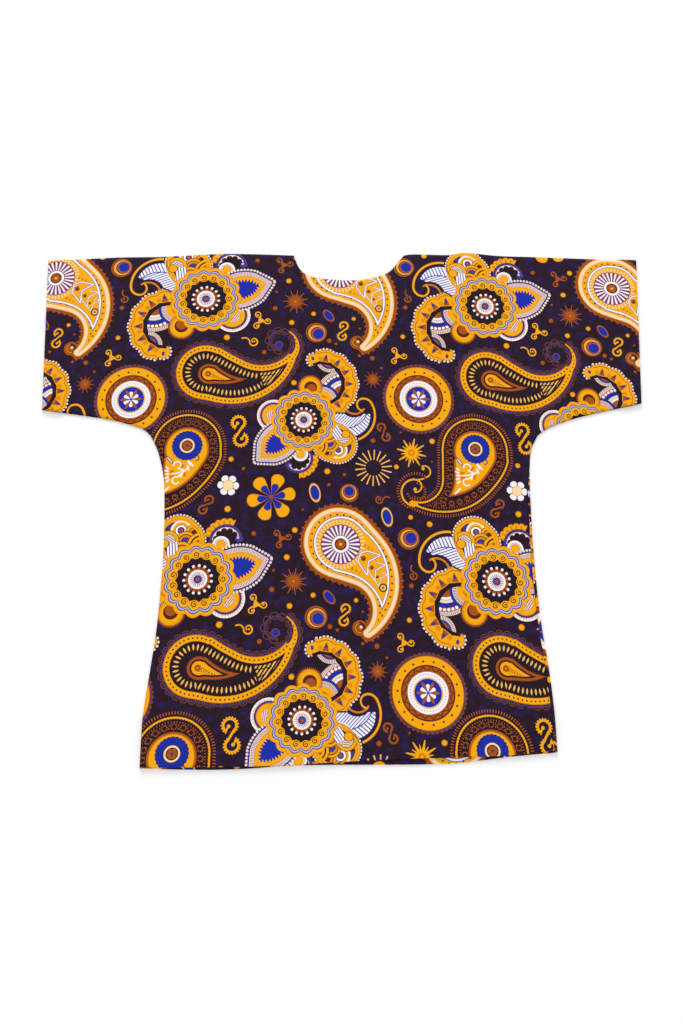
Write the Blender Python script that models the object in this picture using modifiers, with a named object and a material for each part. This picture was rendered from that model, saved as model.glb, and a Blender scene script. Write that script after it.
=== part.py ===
"""A dashiki tunic dress laid flat and face up: a back panel with a front panel on it.

Each panel is cut in one with its half of both sleeves. Metres, with the hem towards -Y, the neck
towards +Y and the back panel's outer face resting on the plane z = 0. Heights in the tables, called
up, run from the hem's lowest point; distances called across run from the centre line, and are
negative on the left.
"""

import math
from collections import namedtuple

import bmesh
import bpy
from mathutils import Vector

# Driving sizes
LENGTH = 0.8320
WALL = 0.0010
SEAM_GAP = 0.0003
HEM_DEPTH = 0.062
CUFF_DEPTH = 0.020
PUFF = 0.0012
PUFF_REACH = 0.045
ROLL_RADIUS = 0.0013

# Levels of the stacked layers, each at the middle of its wall
LAYER = WALL + SEAM_GAP
FOLD_RADIUS = LAYER / 2
BACK_LEVEL = WALL / 2
FRONT_LEVEL = BACK_LEVEL + LAYER
HEM_ROLL_RADIUS = 1.5 * LAYER

# How finely each stretch of the panels is divided
SHOULDER_COLUMNS = 9
NECK_COLUMNS = 11
BODY_ROWS = 18
SLEEVE_ROWS = 12
SLEEVE_COLUMNS = 6
FOLD_STEPS = 4
CURVE_STEPS = 8

# Distances from a folded edge of the first rows beside it
HEM_ROWS = (0.0, 0.021, 0.042, HEM_DEPTH, 0.082)
CUFF_ROWS = (0.0, 0.010, CUFF_DEPTH, 0.034)
STACK_MARGIN = 0.0015
STACK_RAMP = 0.018

# The side seams, from the hem to the turn of the armpit
Side = namedtuple("Side", "up left right")
SIDES = (
    Side(0.000, 0.2968, 0.3170),
    Side(0.079, 0.2959, 0.3154),
    Side(0.145, 0.2885, 0.3105),
    Side(0.203, 0.2820, 0.3035),
    Side(0.262, 0.2784, 0.2985),
    Side(0.326, 0.2764, 0.2957),
    Side(0.391, 0.2777, 0.2947),
    Side(0.443, 0.2812, 0.2951),
    Side(0.486, 0.2918, 0.2985),
    Side(0.513, 0.3050, 0.3105),
)

# The sleeves' undersides, from the armpit to the mouth
Underside = namedtuple("Underside", "left left_up right right_up")
UNDERSIDES = (
    Underside(0.3050, 0.5130, 0.3105, 0.5130),
    Underside(0.3160, 0.5230, 0.3200, 0.5206),
    Underside(0.3380, 0.5314, 0.3380, 0.5300),
    Underside(0.3820, 0.5420, 0.3850, 0.5455),
    Underside(0.4808, 0.5561, 0.4797, 0.5671),
)

# The hem, where the back shows below the front by a few millimetres
Hem = namedtuple("Hem", "across back front")
HEMS = (
    Hem(-0.2968, 0.0017, 0.0028),
    Hem(-0.2070, 0.0000, 0.0036),
    Hem(-0.1440, 0.0014, 0.0043),
    Hem(-0.0784, 0.0058, 0.0064),
    Hem(-0.0040, 0.0072, 0.0112),
    Hem(0.0930, 0.0074, 0.0156),
    Hem(0.1700, 0.0098, 0.0175),
    Hem(0.2470, 0.0185, 0.0205),
    Hem(0.3170, 0.0246, 0.0277),
)

# The upper edge: a shoulder on each side of the neck's scoop
Edge = namedtuple("Edge", "across up")
LEFT_SLEEVE_TOP = (Edge(-0.4895, 0.8172), Edge(-0.3809, 0.8238), Edge(-0.3050, 0.8249))
LEFT_SHOULDER = (Edge(-0.3050, 0.8249), Edge(-0.2194, 0.8298), Edge(-0.1703, 0.8307), Edge(-0.0808, 0.8278))
NECK = (
    Edge(-0.0808, 0.8278),
    Edge(-0.0690, 0.8010),
    Edge(-0.0438, 0.7877),
    Edge(0.0135, 0.7826),
    Edge(0.0494, 0.7868),
    Edge(0.0771, 0.7973),
    Edge(0.0949, 0.8180),
    Edge(0.1030, 0.8278),
)
RIGHT_SHOULDER = (
    Edge(0.1030, 0.8278),
    Edge(0.1203, 0.8298),
    Edge(0.1764, 0.8287),
    Edge(0.2048, 0.8326),
    Edge(0.2609, 0.8269),
    Edge(0.3105, 0.8252),
)
RIGHT_SLEEVE_TOP = (Edge(0.3105, 0.8252), Edge(0.3661, 0.8230), Edge(0.4895, 0.8179))

# How far the back's edge rolls round onto the front face, up the right side
Roll = namedtuple("Roll", "up strip")
ROLLS = (
    Roll(0.000, 0.0046),
    Roll(0.150, 0.0052),
    Roll(0.300, 0.0046),
    Roll(0.400, 0.0036),
    Roll(0.440, 0.0022),
    Roll(0.462, 0.0000),
)
LEAST_STRIP = 0.0020

# The front's soft ridges and troughs, each along a line, with its height and its half width
Ripple = namedtuple("Ripple", "start_across start_up end_across end_up height reach")
RIPPLES = (
    Ripple(-0.30, 0.56, -0.12, 0.50, 0.0012, 0.030),
    Ripple(0.31, 0.55, 0.14, 0.47, 0.0013, 0.028),
    Ripple(-0.05, 0.70, -0.08, 0.42, -0.0009, 0.040),
    Ripple(0.12, 0.74, 0.20, 0.60, 0.0009, 0.032),
    Ripple(-0.38, 0.74, -0.24, 0.68, 0.0009, 0.030),
    Ripple(0.40, 0.70, 0.30, 0.76, -0.0007, 0.030),
    Ripple(-0.22, 0.30, -0.10, 0.14, 0.0011, 0.035),
    Ripple(0.24, 0.34, 0.12, 0.20, 0.0010, 0.034),
    Ripple(0.02, 0.32, 0.00, 0.12, 0.0012, 0.045),
)


def smooth_line(points):
    """Points on the smooth curve that passes through the given ones."""
    ends = [points[0], *points, points[-1]]
    line = []
    for before, start, end, after in zip(ends, ends[1:], ends[2:], ends[3:]):
        for step in range(CURVE_STEPS):
            t = step / CURVE_STEPS
            line.append(tuple(
                0.5 * (2 * b + (c - a) * t + (2 * a - 5 * b + 4 * c - d) * t ** 2
                       + (3 * b - a - 3 * c + d) * t ** 3)
                for a, b, c, d in zip(before, start, end, after)
            ))
    return [*line, tuple(points[-1])]


def place_on(line, distance):
    """The point at this distance along a line of points."""
    for start, end in zip(line, line[1:]):
        stretch = math.dist(start, end)
        if distance <= stretch:
            share = distance / stretch
            return tuple(a + (b - a) * share for a, b in zip(start, end))
        distance -= stretch
    return line[-1]


def length_of(line):
    return sum(math.dist(start, end) for start, end in zip(line, line[1:]))


def spaced(line, count, first=(0.0,)):
    """Points along a line: the first few at set distances, then count even steps to its end."""
    rest = length_of(line) - first[-1]
    distances = [*first, *(first[-1] + rest * step / count for step in range(1, count + 1))]
    return [place_on(line, distance) for distance in distances]


def read_line(line, position, along=1, wanted=0):
    """The wanted coordinate where the line's other coordinate has this position."""
    for start, end in zip(line, line[1:]):
        if position <= end[along]:
            break
    share = (position - start[along]) / (end[along] - start[along])
    return start[wanted] + (end[wanted] - start[wanted]) * share


def patch(bottom, top, left, right):
    """Rows of points blended between the four edges of a patch."""
    rows = []
    for row, (west, east) in enumerate(zip(left, right)):
        v = row / (len(left) - 1)
        points = []
        for column, (south, north) in enumerate(zip(bottom, top)):
            u = column / (len(bottom) - 1)
            points.append(tuple(
                (1 - v) * south[k] + v * north[k] + (1 - u) * west[k] + u * east[k]
                - (1 - u) * (1 - v) * bottom[0][k] - u * (1 - v) * bottom[-1][k]
                - (1 - u) * v * top[0][k] - u * v * top[-1][k]
                for k in (0, 1)
            ))
        rows.append(points)
    return rows


def ease(share):
    """A smooth step from 0 to 1."""
    share = min(max(share, 0.0), 1.0)
    return share * share * (3 - 2 * share)


LEFT_SIDE = smooth_line([(-side.left, side.up) for side in SIDES])
RIGHT_SIDE = smooth_line([(side.right, side.up) for side in SIDES])
LEFT_UNDERSIDE = smooth_line([(-row.left, row.left_up) for row in UNDERSIDES])
RIGHT_UNDERSIDE = smooth_line([(row.right, row.right_up) for row in UNDERSIDES])
ROLL_LINE = smooth_line([(roll.strip, roll.up) for roll in ROLLS])
TOP_LINES = [smooth_line(edges) for edges in (LEFT_SHOULDER, NECK, RIGHT_SHOULDER)]
SLEEVE_TOPS = [smooth_line(LEFT_SLEEVE_TOP), smooth_line(RIGHT_SLEEVE_TOP)]
FOLD_INSET = FOLD_RADIUS + WALL / 2
ARMPIT_UP = SIDES[-1].up


def roll_strip(up):
    """How wide the back's rolled edge shows on the front face at this height."""
    return max(read_line(ROLL_LINE, up), 0.0) if up < ROLLS[-1].up else 0.0


def roll_radius(up, hem_up):
    """The roll's radius, larger where it goes round the stacked hems."""
    stacked = near(up - hem_up, HEM_DEPTH)
    return ROLL_RADIUS + (HEM_ROLL_RADIUS - ROLL_RADIUS) * stacked


def near(distance, depth):
    """1 over a turned edge, falling to 0 past the end of its turn-up."""
    return 1 - ease((distance - depth - STACK_MARGIN) / STACK_RAMP)


class Layout:
    """The points of one panel, as a body patch and two sleeve patches."""

    def __init__(self, hem_points, front):
        self.front = front
        self.hem = smooth_line(hem_points)
        corner_left, corner_right = self.hem[0], self.hem[-1]
        start_left = corner_left[1] + FOLD_INSET
        start_right = corner_right[1] + FOLD_INSET
        left = [(read_line(LEFT_SIDE, up), up) for up in self.side_rows(start_left)]
        right = [(self.right_edge(up), up) for up in self.side_rows(start_right)]
        self.armpit_row = len(left) - 1
        self.roll_row = max(row for row, (_, up) in enumerate(right) if roll_strip(up) >= LEAST_STRIP)
        left += self.sleeve_line(left[-1], LEFT_SHOULDER[0])
        right += self.sleeve_line(right[-1], RIGHT_SHOULDER[-1])
        counts = (SHOULDER_COLUMNS, NECK_COLUMNS, SHOULDER_COLUMNS)
        top = []
        for line, count in zip(TOP_LINES, counts):
            top += spaced(line, count)[bool(top):]
        columns = len(top) - 1
        bottom = []
        for column in range(columns + 1):
            across = left[0][0] + (right[0][0] - left[0][0]) * column / columns
            bottom.append((across, read_line(self.hem, across, 0, 1) + FOLD_INSET))
        bottom[0], bottom[-1] = left[0], right[0]
        self.body = patch(bottom, top, left, right)
        self.left_sleeve = self.sleeve(left[self.armpit_row:], LEFT_UNDERSIDE, SLEEVE_TOPS[0][::-1])
        self.right_sleeve = self.sleeve(right[self.armpit_row:], RIGHT_UNDERSIDE, SLEEVE_TOPS[1])

    def side_rows(self, start):
        """The heights of the rows up a side, from the hem to the armpit."""
        lower = [start + distance for distance in HEM_ROWS]
        rise = ARMPIT_UP - lower[-1]
        return lower + [lower[-1] + rise * step / BODY_ROWS for step in range(1, BODY_ROWS + 1)]

    def right_edge(self, up):
        """The panel's right edge: the back turns up at its roll, and the front ends beside the roll."""
        outline = read_line(RIGHT_SIDE, up)
        strip = roll_strip(up)
        if strip < LEAST_STRIP:
            return outline - (strip if self.front else 0.0)
        if self.front:
            return outline - strip - SEAM_GAP
        return outline - roll_radius(up, self.hem[-1][1]) - WALL / 2

    def sleeve_line(self, low, high):
        """Even steps up from an armpit to the shoulder."""
        return [
            tuple(a + (b - a) * step / SLEEVE_ROWS for a, b in zip(low, high))
            for step in range(1, SLEEVE_ROWS + 1)
        ]

    def sleeve(self, inner, underside, top):
        """A sleeve's patch, with its rows running from the mouth in to the body."""
        outwards = 1 if inner[0][0] > 0 else -1
        low = self.from_mouth(underside[::-1])
        high = self.from_mouth(top[::-1])
        mouth = [
            tuple(a + (b - a) * row / SLEEVE_ROWS for a, b in zip(low[0], high[0]))
            for row in range(SLEEVE_ROWS + 1)
        ]
        return outwards, patch(low, high, mouth, inner)

    def from_mouth(self, line):
        """Points from a sleeve's mouth inwards, the first few at the cuff's distances."""
        return spaced(line, SLEEVE_COLUMNS, [FOLD_INSET + distance for distance in CUFF_ROWS])

    def seam_lines(self):
        """The edges where the two panels are sewn together, and the neck."""
        return [LEFT_SIDE, LEFT_UNDERSIDE, RIGHT_SIDE, RIGHT_UNDERSIDE, *TOP_LINES, *SLEEVE_TOPS]


def distance_to(lines, point):
    """The distance from a point to the nearest of some lines."""
    spot = Vector(point)
    nearest = math.inf
    for line in lines:
        for start, end in zip(line, line[1:]):
            a, b = Vector(start), Vector(end)
            share = min(max((spot - a).dot(b - a) / (b - a).length_squared, 0.0), 1.0)
            nearest = min(nearest, (spot - a.lerp(b, share)).length)
    return nearest


def mouth_distance(point):
    """The distance in from the nearer sleeve's mouth."""
    row = UNDERSIDES[-1]
    if point[0] < 0:
        low, high = Edge(-row.left, row.left_up), LEFT_SLEEVE_TOP[0]
    else:
        low, high = Edge(row.right, row.right_up), RIGHT_SLEEVE_TOP[-1]
    share = (point[1] - low.up) / (high.up - low.up)
    return abs(low.across + (high.across - low.across) * share) - abs(point[0])


def front_level(layout, point):
    """The height of the front panel's middle: low at its seams, high over the turned edges."""
    hem_distance = point[1] - read_line(layout.hem, point[0], 0, 1)
    stack = max(
        near(hem_distance, HEM_DEPTH + FOLD_INSET),
        near(mouth_distance(point), CUFF_DEPTH + FOLD_INSET),
    )
    inside = ease(distance_to(layout.seam_lines(), point) / PUFF_REACH)
    ripples = sum(
        ripple.height * math.exp(-(distance_to([[ripple[0:2], ripple[2:4]]], point) / ripple.reach) ** 2)
        for ripple in RIPPLES
    )
    beside_roll = 1 - ease((read_line(RIGHT_SIDE, point[1]) - point[0]) / PUFF_REACH)
    lift = (2 * ROLL_RADIUS - LAYER) * beside_roll * ease(roll_strip(point[1]) / LEAST_STRIP)
    return FRONT_LEVEL + 2 * LAYER * stack + (1 - stack) * ((PUFF + ripples) * inside + lift)


def raised(rows, level):
    """The rows as points in space, each at the height that level gives."""
    return [[Vector((across, up - LENGTH / 2, level((across, up)))) for across, up in row] for row in rows]


def folded(edge, outward, radius, turn, layers):
    """Rows that carry a panel's edge round a fold and back along the layers given."""
    rows = [edge]
    for step in range(1, FOLD_STEPS + 1):
        angle = math.pi * step / FOLD_STEPS
        out = outward * radius * math.sin(angle)
        rise = Vector((0, 0, turn * radius * (1 - math.cos(angle))))
        rows.append([point + out + rise for point in edge])
    for layer in layers:
        rows.append([Vector((point.x, point.y, edge_point.z + turn * 2 * radius))
                     for point, edge_point in zip(layer, edge)])
    return rows


def rolled_edge(layout, body):
    """Rows that carry the back's right edge round onto the front face."""
    columns = []
    for row in body[:layout.roll_row + 1]:
        start = row[-1]
        up = start.y + LENGTH / 2
        radius = roll_radius(up, layout.hem[-1][1])
        arc = [
            start + Vector((radius * math.sin(angle), 0, radius * (1 - math.cos(angle))))
            for angle in (math.pi * step / FOLD_STEPS for step in range(FOLD_STEPS + 1))
        ]
        flat = roll_strip(up) - radius - WALL / 2
        columns.append([*arc, arc[-1] - Vector((flat, 0, 0))])
    return columns


def add_patch(mesh, rows):
    """Quads between neighbouring rows."""
    corners = [[mesh.verts.new(point) for point in row] for row in rows]
    for low, high in zip(corners, corners[1:]):
        for column in range(len(low) - 1):
            mesh.faces.new((low[column], low[column + 1], high[column + 1], high[column]))


def cloth_material(name, colour):
    """Matt printed cotton."""
    material = bpy.data.materials.new(name)
    material.use_nodes = True
    shader = material.node_tree.nodes["Principled BSDF"]
    shader.inputs["Base Color"].default_value = (*colour, 1.0)
    shader.inputs["Roughness"].default_value = 0.85
    shader.inputs["Metallic"].default_value = 0.0
    material.diffuse_color = (*colour, 1.0)
    return material


def build_panel(name, layout, level, turn, collection, colour):
    """One panel: an open surface with its hem and sleeve mouths folded, given its wall by Solidify."""
    mesh = bmesh.new()
    body = raised(layout.body, level)
    add_patch(mesh, body)
    hem_layers = body[1:HEM_ROWS.index(HEM_DEPTH) + 1]
    add_patch(mesh, folded(body[0], Vector((0, -1, 0)), FOLD_RADIUS, turn, hem_layers))
    for outwards, rows in (layout.left_sleeve, layout.right_sleeve):
        columns = [list(column) for column in zip(*raised(rows, level))]
        add_patch(mesh, columns)
        cuff_layers = columns[1:CUFF_ROWS.index(CUFF_DEPTH) + 1]
        add_patch(mesh, folded(columns[0], Vector((outwards, 0, 0)), FOLD_RADIUS, turn, cuff_layers))
    if not layout.front:
        add_patch(mesh, rolled_edge(layout, body))
    bmesh.ops.remove_doubles(mesh, verts=mesh.verts, dist=1e-6)
    bmesh.ops.recalc_face_normals(mesh, faces=mesh.faces)
    data = bpy.data.meshes.new(name)
    mesh.to_mesh(data)
    mesh.free()
    data.shade_smooth()
    data.materials.append(cloth_material(name + "_cloth", colour))
    panel = bpy.data.objects.new(name, data)
    collection.objects.link(panel)
    wall = panel.modifiers.new("Wall", "SOLIDIFY")
    wall.thickness = WALL
    wall.offset = 0.0
    wall.use_even_offset = True
    wall.use_quality_normals = True
    return panel


def main():
    for thing in list(bpy.data.objects):
        bpy.data.objects.remove(thing)
    collection = bpy.data.collections.new("dashiki_dress")
    bpy.context.scene.collection.children.link(collection)
    back = Layout([(hem.across, hem.back) for hem in HEMS], front=False)
    front = Layout([(hem.across, hem.front) for hem in HEMS], front=True)
    build_panel("back_panel", back, lambda point: BACK_LEVEL, 1, collection, (0.10, 0.06, 0.05))
    build_panel("front_panel", front, lambda point: front_level(front, point), -1, collection,
                (0.13, 0.08, 0.06))


main()
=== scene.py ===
"""A dashiki tunic dress of printed cotton, laid flat and face up: its cloth, its print and its lighting."""

import math
from collections import namedtuple

import bmesh
import bpy
import numpy as np
from bpy.props import FloatProperty, FloatVectorProperty, PointerProperty
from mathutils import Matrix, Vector


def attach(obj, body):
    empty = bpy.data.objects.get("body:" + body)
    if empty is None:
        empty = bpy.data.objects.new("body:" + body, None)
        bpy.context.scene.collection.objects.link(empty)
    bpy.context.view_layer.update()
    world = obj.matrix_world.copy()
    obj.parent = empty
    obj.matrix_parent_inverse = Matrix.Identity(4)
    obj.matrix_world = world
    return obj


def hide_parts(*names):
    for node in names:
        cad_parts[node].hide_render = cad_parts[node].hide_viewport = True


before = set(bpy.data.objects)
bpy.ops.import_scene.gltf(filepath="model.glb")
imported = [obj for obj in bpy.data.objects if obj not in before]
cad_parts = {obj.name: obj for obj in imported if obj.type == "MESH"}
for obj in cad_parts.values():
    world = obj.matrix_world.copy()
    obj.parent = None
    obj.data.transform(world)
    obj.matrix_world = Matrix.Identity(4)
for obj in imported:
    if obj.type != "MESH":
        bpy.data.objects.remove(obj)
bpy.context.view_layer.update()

bl_info = {
    "name": "Dashiki Dress",
    "version": (1, 0, 0),
    "blender": (4, 5, 0),
    "location": "View3D > Sidebar > Dashiki",
    "description": "Lays out a printed cotton dashiki dress panel by panel",
    "category": "Add Mesh",
}

MM = 0.001
REFLECTS = 0.90  # the share of the light that a fully bright print gives back


def linear(red, green, blue):
    """A printed colour, given as it looks on a screen from 0 to 255, as the light it reflects."""
    return tuple(
        REFLECTS * (value / 12.92 if value <= 0.04045 else ((value + 0.055) / 1.055) ** 2.4)
        for value in (red / 255, green / 255, blue / 255)
    )


def colour_property(name, description, red, green, blue):
    """A cloth or ink colour that can be changed in the sidebar."""
    return FloatVectorProperty(
        name=name, description=description, default=linear(red, green, blue), subtype="COLOR",
        min=0.0, max=1.0, size=3,
    )


def length_property(name, description, default, least=0.0001):
    """A length that can be changed in the sidebar."""
    return FloatProperty(
        name=name, description=description, default=default, min=least, unit="LENGTH", subtype="DISTANCE",
        precision=4,
    )


class DressSizes(bpy.types.PropertyGroup):
    """The cut and the lay of the dress."""

    length: length_property("Length", "Hem's lowest point to the top of the shoulders", 0.832, 0.1)
    solid_wall: length_property("Layer", "Height that one layer of cloth takes up in the stack", 0.0010)
    seam_gap: length_property("Seam gap", "Gap between two layers of cloth", 0.0003)
    cloth: length_property("Cloth thickness", "Thickness of the cotton itself", 0.0006)
    hem_depth: length_property("Hem depth", "Depth of the turned hem", 0.062, 0.005)
    cuff_depth: length_property("Sleeve hem depth", "Depth of the turned sleeve mouths", 0.020, 0.005)
    puff: length_property("Puff", "Height that the front rises off the back between the seams", 0.0012, 0.0)


class PrintColours(bpy.types.PropertyGroup):
    """The dyed ground and the inks printed on it."""

    ground: colour_property("Ground", "Dark aubergine ground of the cloth", 40, 23, 34)
    navy: colour_property("Navy", "Navy mottling in the ground", 42, 28, 78)
    yellow: colour_property("Yellow", "Sunny yellow of the main motifs", 253, 174, 8)
    honey: colour_property("Honey", "Paler yellow of thin outlines", 246, 190, 92)
    amber: colour_property("Amber", "Orange shading inside the yellow", 214, 126, 12)
    orange: colour_property("Orange", "Deeper yellow of thin edges", 232, 142, 14)
    rust: colour_property("Rust", "Rust brown", 172, 84, 22)
    brown: colour_property("Brown", "Muted brown of the dotted lace", 128, 68, 36)
    umber: colour_property("Umber", "Dark brown lines", 84, 38, 24)
    cobalt: colour_property("Cobalt", "Bright blue", 28, 46, 168)
    violet: colour_property("Violet", "Blue violet lines", 72, 58, 138)
    lavender: colour_property("Lavender", "Pale lavender", 183, 187, 224)
    white: colour_property("White", "Off white", 255, 248, 250)
    cream: colour_property("Cream", "Warm cream", 252, 222, 178)
    pink: colour_property("Pink", "Pinkish white", 242, 222, 214)


class PrintLayout(bpy.types.PropertyGroup):
    """How the print lies on the cloth."""

    repeat: length_property("Repeat", "Distance after which the print repeats, both ways", 0.460, 0.05)
    across: length_property("Print across", "A repeat's start, right of the dress's middle", 0.1220, -1.0)
    up: length_property("Print up", "A repeat's start, above the dress's middle", 0.1633, -1.0)


# The side seams, from the hem to the turn of the armpit
Side = namedtuple("Side", "up left right")
SIDES = (
    Side(0.000, 0.2968, 0.3170),
    Side(0.079, 0.2959, 0.3154),
    Side(0.145, 0.2885, 0.3105),
    Side(0.203, 0.2820, 0.3035),
    Side(0.262, 0.2784, 0.2985),
    Side(0.326, 0.2764, 0.2957),
    Side(0.391, 0.2777, 0.2947),
    Side(0.443, 0.2812, 0.2951),
    Side(0.486, 0.2918, 0.2985),
    Side(0.513, 0.3050, 0.3105),
)

# The sleeves' undersides, from the armpit to the mouth
Underside = namedtuple("Underside", "left left_up right right_up")
UNDERSIDES = (
    Underside(0.3050, 0.5130, 0.3105, 0.5130),
    Underside(0.3160, 0.5230, 0.3200, 0.5206),
    Underside(0.3380, 0.5314, 0.3380, 0.5300),
    Underside(0.3820, 0.5420, 0.3850, 0.5455),
    Underside(0.4808, 0.5561, 0.4797, 0.5671),
)

# The hem, where the back shows below the front by a few millimetres
Hem = namedtuple("Hem", "across back front")
HEMS = (
    Hem(-0.2968, 0.0017, 0.0028),
    Hem(-0.2070, 0.0000, 0.0036),
    Hem(-0.1440, 0.0014, 0.0043),
    Hem(-0.0784, 0.0058, 0.0064),
    Hem(-0.0040, 0.0072, 0.0112),
    Hem(0.0930, 0.0074, 0.0156),
    Hem(0.1700, 0.0098, 0.0175),
    Hem(0.2470, 0.0185, 0.0205),
    Hem(0.3170, 0.0246, 0.0277),
)

# The upper edge: a shoulder on each side of the neck's scoop
Edge = namedtuple("Edge", "across up")
LEFT_SLEEVE_TOP = (Edge(-0.4895, 0.8172), Edge(-0.3809, 0.8238), Edge(-0.3050, 0.8249))
LEFT_SHOULDER = (Edge(-0.3050, 0.8249), Edge(-0.2194, 0.8298), Edge(-0.1703, 0.8307), Edge(-0.0808, 0.8278))
NECK = (
    Edge(-0.0808, 0.8278),
    Edge(-0.0690, 0.8010),
    Edge(-0.0438, 0.7877),
    Edge(0.0135, 0.7826),
    Edge(0.0494, 0.7868),
    Edge(0.0771, 0.7973),
    Edge(0.0949, 0.8180),
    Edge(0.1030, 0.8278),
)
RIGHT_SHOULDER = (
    Edge(0.1030, 0.8278),
    Edge(0.1203, 0.8298),
    Edge(0.1764, 0.8287),
    Edge(0.2048, 0.8326),
    Edge(0.2609, 0.8269),
    Edge(0.3105, 0.8252),
)
RIGHT_SLEEVE_TOP = (Edge(0.3105, 0.8252), Edge(0.3661, 0.8230), Edge(0.4895, 0.8179))

# How far the back's edge rolls round onto the front face, up the right side
Roll = namedtuple("Roll", "up strip")
ROLLS = (
    Roll(0.000, 0.0046),
    Roll(0.150, 0.0052),
    Roll(0.300, 0.0046),
    Roll(0.400, 0.0036),
    Roll(0.440, 0.0022),
    Roll(0.462, 0.0000),
)
LEAST_STRIP = 0.0020
ROLL_RADIUS = 0.0013

# The front's soft ridges and troughs, each along a line, with its height and its half width
Ripple = namedtuple("Ripple", "start_across start_up end_across end_up height reach")
RIPPLES = (
    Ripple(-0.30, 0.56, -0.12, 0.50, 0.0012, 0.030),
    Ripple(0.31, 0.55, 0.14, 0.47, 0.0013, 0.028),
    Ripple(-0.05, 0.70, -0.08, 0.42, -0.0009, 0.040),
    Ripple(0.12, 0.74, 0.20, 0.60, 0.0009, 0.032),
    Ripple(-0.38, 0.74, -0.24, 0.68, 0.0009, 0.030),
    Ripple(0.40, 0.70, 0.30, 0.76, -0.0007, 0.030),
    Ripple(-0.22, 0.30, -0.10, 0.14, 0.0011, 0.035),
    Ripple(0.24, 0.34, 0.12, 0.20, 0.0010, 0.034),
    Ripple(0.02, 0.32, 0.00, 0.12, 0.0012, 0.045),
)

# How the laid cloth pulls its print out of square: a shift for each power of the place on the front,
# counted in half widths across and half lengths up
Pull = namedtuple("Pull", "across_power up_power shift_across shift_up")
PULLS = (
    Pull(1, 0, 0.0035, 0.0065),
    Pull(2, 0, 0.0205, 0.0205),
    Pull(3, 0, 0.0030, -0.0050),
    Pull(4, 0, -0.0110, 0.0),
    Pull(0, 1, 0.0025, -0.0050),
    Pull(1, 1, 0.0060, 0.0095),
    Pull(0, 2, -0.0010, 0.0030),
    Pull(1, 2, -0.0120, 0.0),
    Pull(2, 1, 0.0, 0.0045),
    Pull(2, 2, 0.0, 0.0030),
)
PULL_ACROSS = 0.500
PULL_UP = 0.400
PULL_CENTRE = (-0.0013, -0.0271)

# How finely each stretch of the panels is divided
SHOULDER_COLUMNS = 34
NECK_COLUMNS = 38
BODY_ROWS = 84
SLEEVE_ROWS = 52
SLEEVE_COLUMNS = 32
FOLD_STEPS = 8
CURVE_STEPS = 12
TURN_ROWS = 12
PUFF_REACH = 0.045
STACK_MARGIN = 0.0015
STACK_RAMP = 0.018


def smooth_line(points):
    """Points on the smooth curve that passes through the given ones."""
    ends = [points[0], *points, points[-1]]
    line = []
    for before, start, end, after in zip(ends, ends[1:], ends[2:], ends[3:]):
        for step in range(CURVE_STEPS):
            t = step / CURVE_STEPS
            line.append(tuple(
                0.5 * (2 * b + (c - a) * t + (2 * a - 5 * b + 4 * c - d) * t ** 2
                       + (3 * b - a - 3 * c + d) * t ** 3)
                for a, b, c, d in zip(before, start, end, after)
            ))
    return [*line, tuple(points[-1])]


def even_steps(low, high, count):
    """Points in even steps from one point to another, with both of them."""
    return [tuple(a + (b - a) * step / count for a, b in zip(low, high)) for step in range(count + 1)]


def place_on(line, distance):
    """The point at this distance along a line of points."""
    for start, end in zip(line, line[1:]):
        stretch = math.dist(start, end)
        if distance <= stretch:
            share = distance / stretch
            return tuple(a + (b - a) * share for a, b in zip(start, end))
        distance -= stretch
    return line[-1]


def length_of(line):
    """The length of a line of points."""
    return sum(math.dist(start, end) for start, end in zip(line, line[1:]))


def spaced(line, count, first=(0.0,)):
    """Points along a line: the first few at set distances, then count even steps to its end."""
    rest = length_of(line) - first[-1]
    distances = [*first, *(first[-1] + rest * step / count for step in range(1, count + 1))]
    return [place_on(line, distance) for distance in distances]


def read_line(line, position, along=1, wanted=0):
    """The wanted coordinate where the line's other coordinate has this position."""
    table = np.array(line)
    return np.interp(position, table[:, along], table[:, wanted])


def patch(bottom, top, left, right):
    """Rows of points blended between the four edges of a patch."""
    bottom, top, left, right = (np.array(edge) for edge in (bottom, top, left, right))
    u = np.linspace(0, 1, len(bottom))[None, :, None]
    v = np.linspace(0, 1, len(left))[:, None, None]
    return (
        (1 - v) * bottom[None] + v * top[None] + (1 - u) * left[:, None] + u * right[:, None]
        - (1 - u) * (1 - v) * bottom[0] - u * (1 - v) * bottom[-1] - (1 - u) * v * top[0] - u * v * top[-1]
    )


def ease(share):
    """A smooth step from 0 to 1."""
    share = np.clip(share, 0.0, 1.0)
    return share * share * (3 - 2 * share)


def distance_to(lines, points):
    """The distance from each point to the nearest of some lines."""
    nearest = np.full(points.shape[:-1], np.inf)
    for line in lines:
        for start, end in zip(line, line[1:]):
            start, run = np.array(start), np.array(end) - np.array(start)
            share = np.clip(((points - start) @ run) / (run @ run), 0.0, 1.0)
            away = points - start - share[..., None] * run
            nearest = np.minimum(nearest, np.hypot(away[..., 0], away[..., 1]))
    return nearest


LEFT_SIDE = smooth_line([(-side.left, side.up) for side in SIDES])
RIGHT_SIDE = smooth_line([(side.right, side.up) for side in SIDES])
LEFT_UNDERSIDE = smooth_line([(-row.left, row.left_up) for row in UNDERSIDES])
RIGHT_UNDERSIDE = smooth_line([(row.right, row.right_up) for row in UNDERSIDES])
ROLL_LINE = smooth_line([(roll.strip, roll.up) for roll in ROLLS])
TOP_LINES = [smooth_line(edges) for edges in (LEFT_SHOULDER, NECK, RIGHT_SHOULDER)]
SLEEVE_TOPS = [smooth_line(LEFT_SLEEVE_TOP), smooth_line(RIGHT_SLEEVE_TOP)]
SEAM_LINES = [LEFT_SIDE, LEFT_UNDERSIDE, RIGHT_SIDE, RIGHT_UNDERSIDE, *TOP_LINES, *SLEEVE_TOPS]
ARMPIT_UP = SIDES[-1].up


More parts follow.
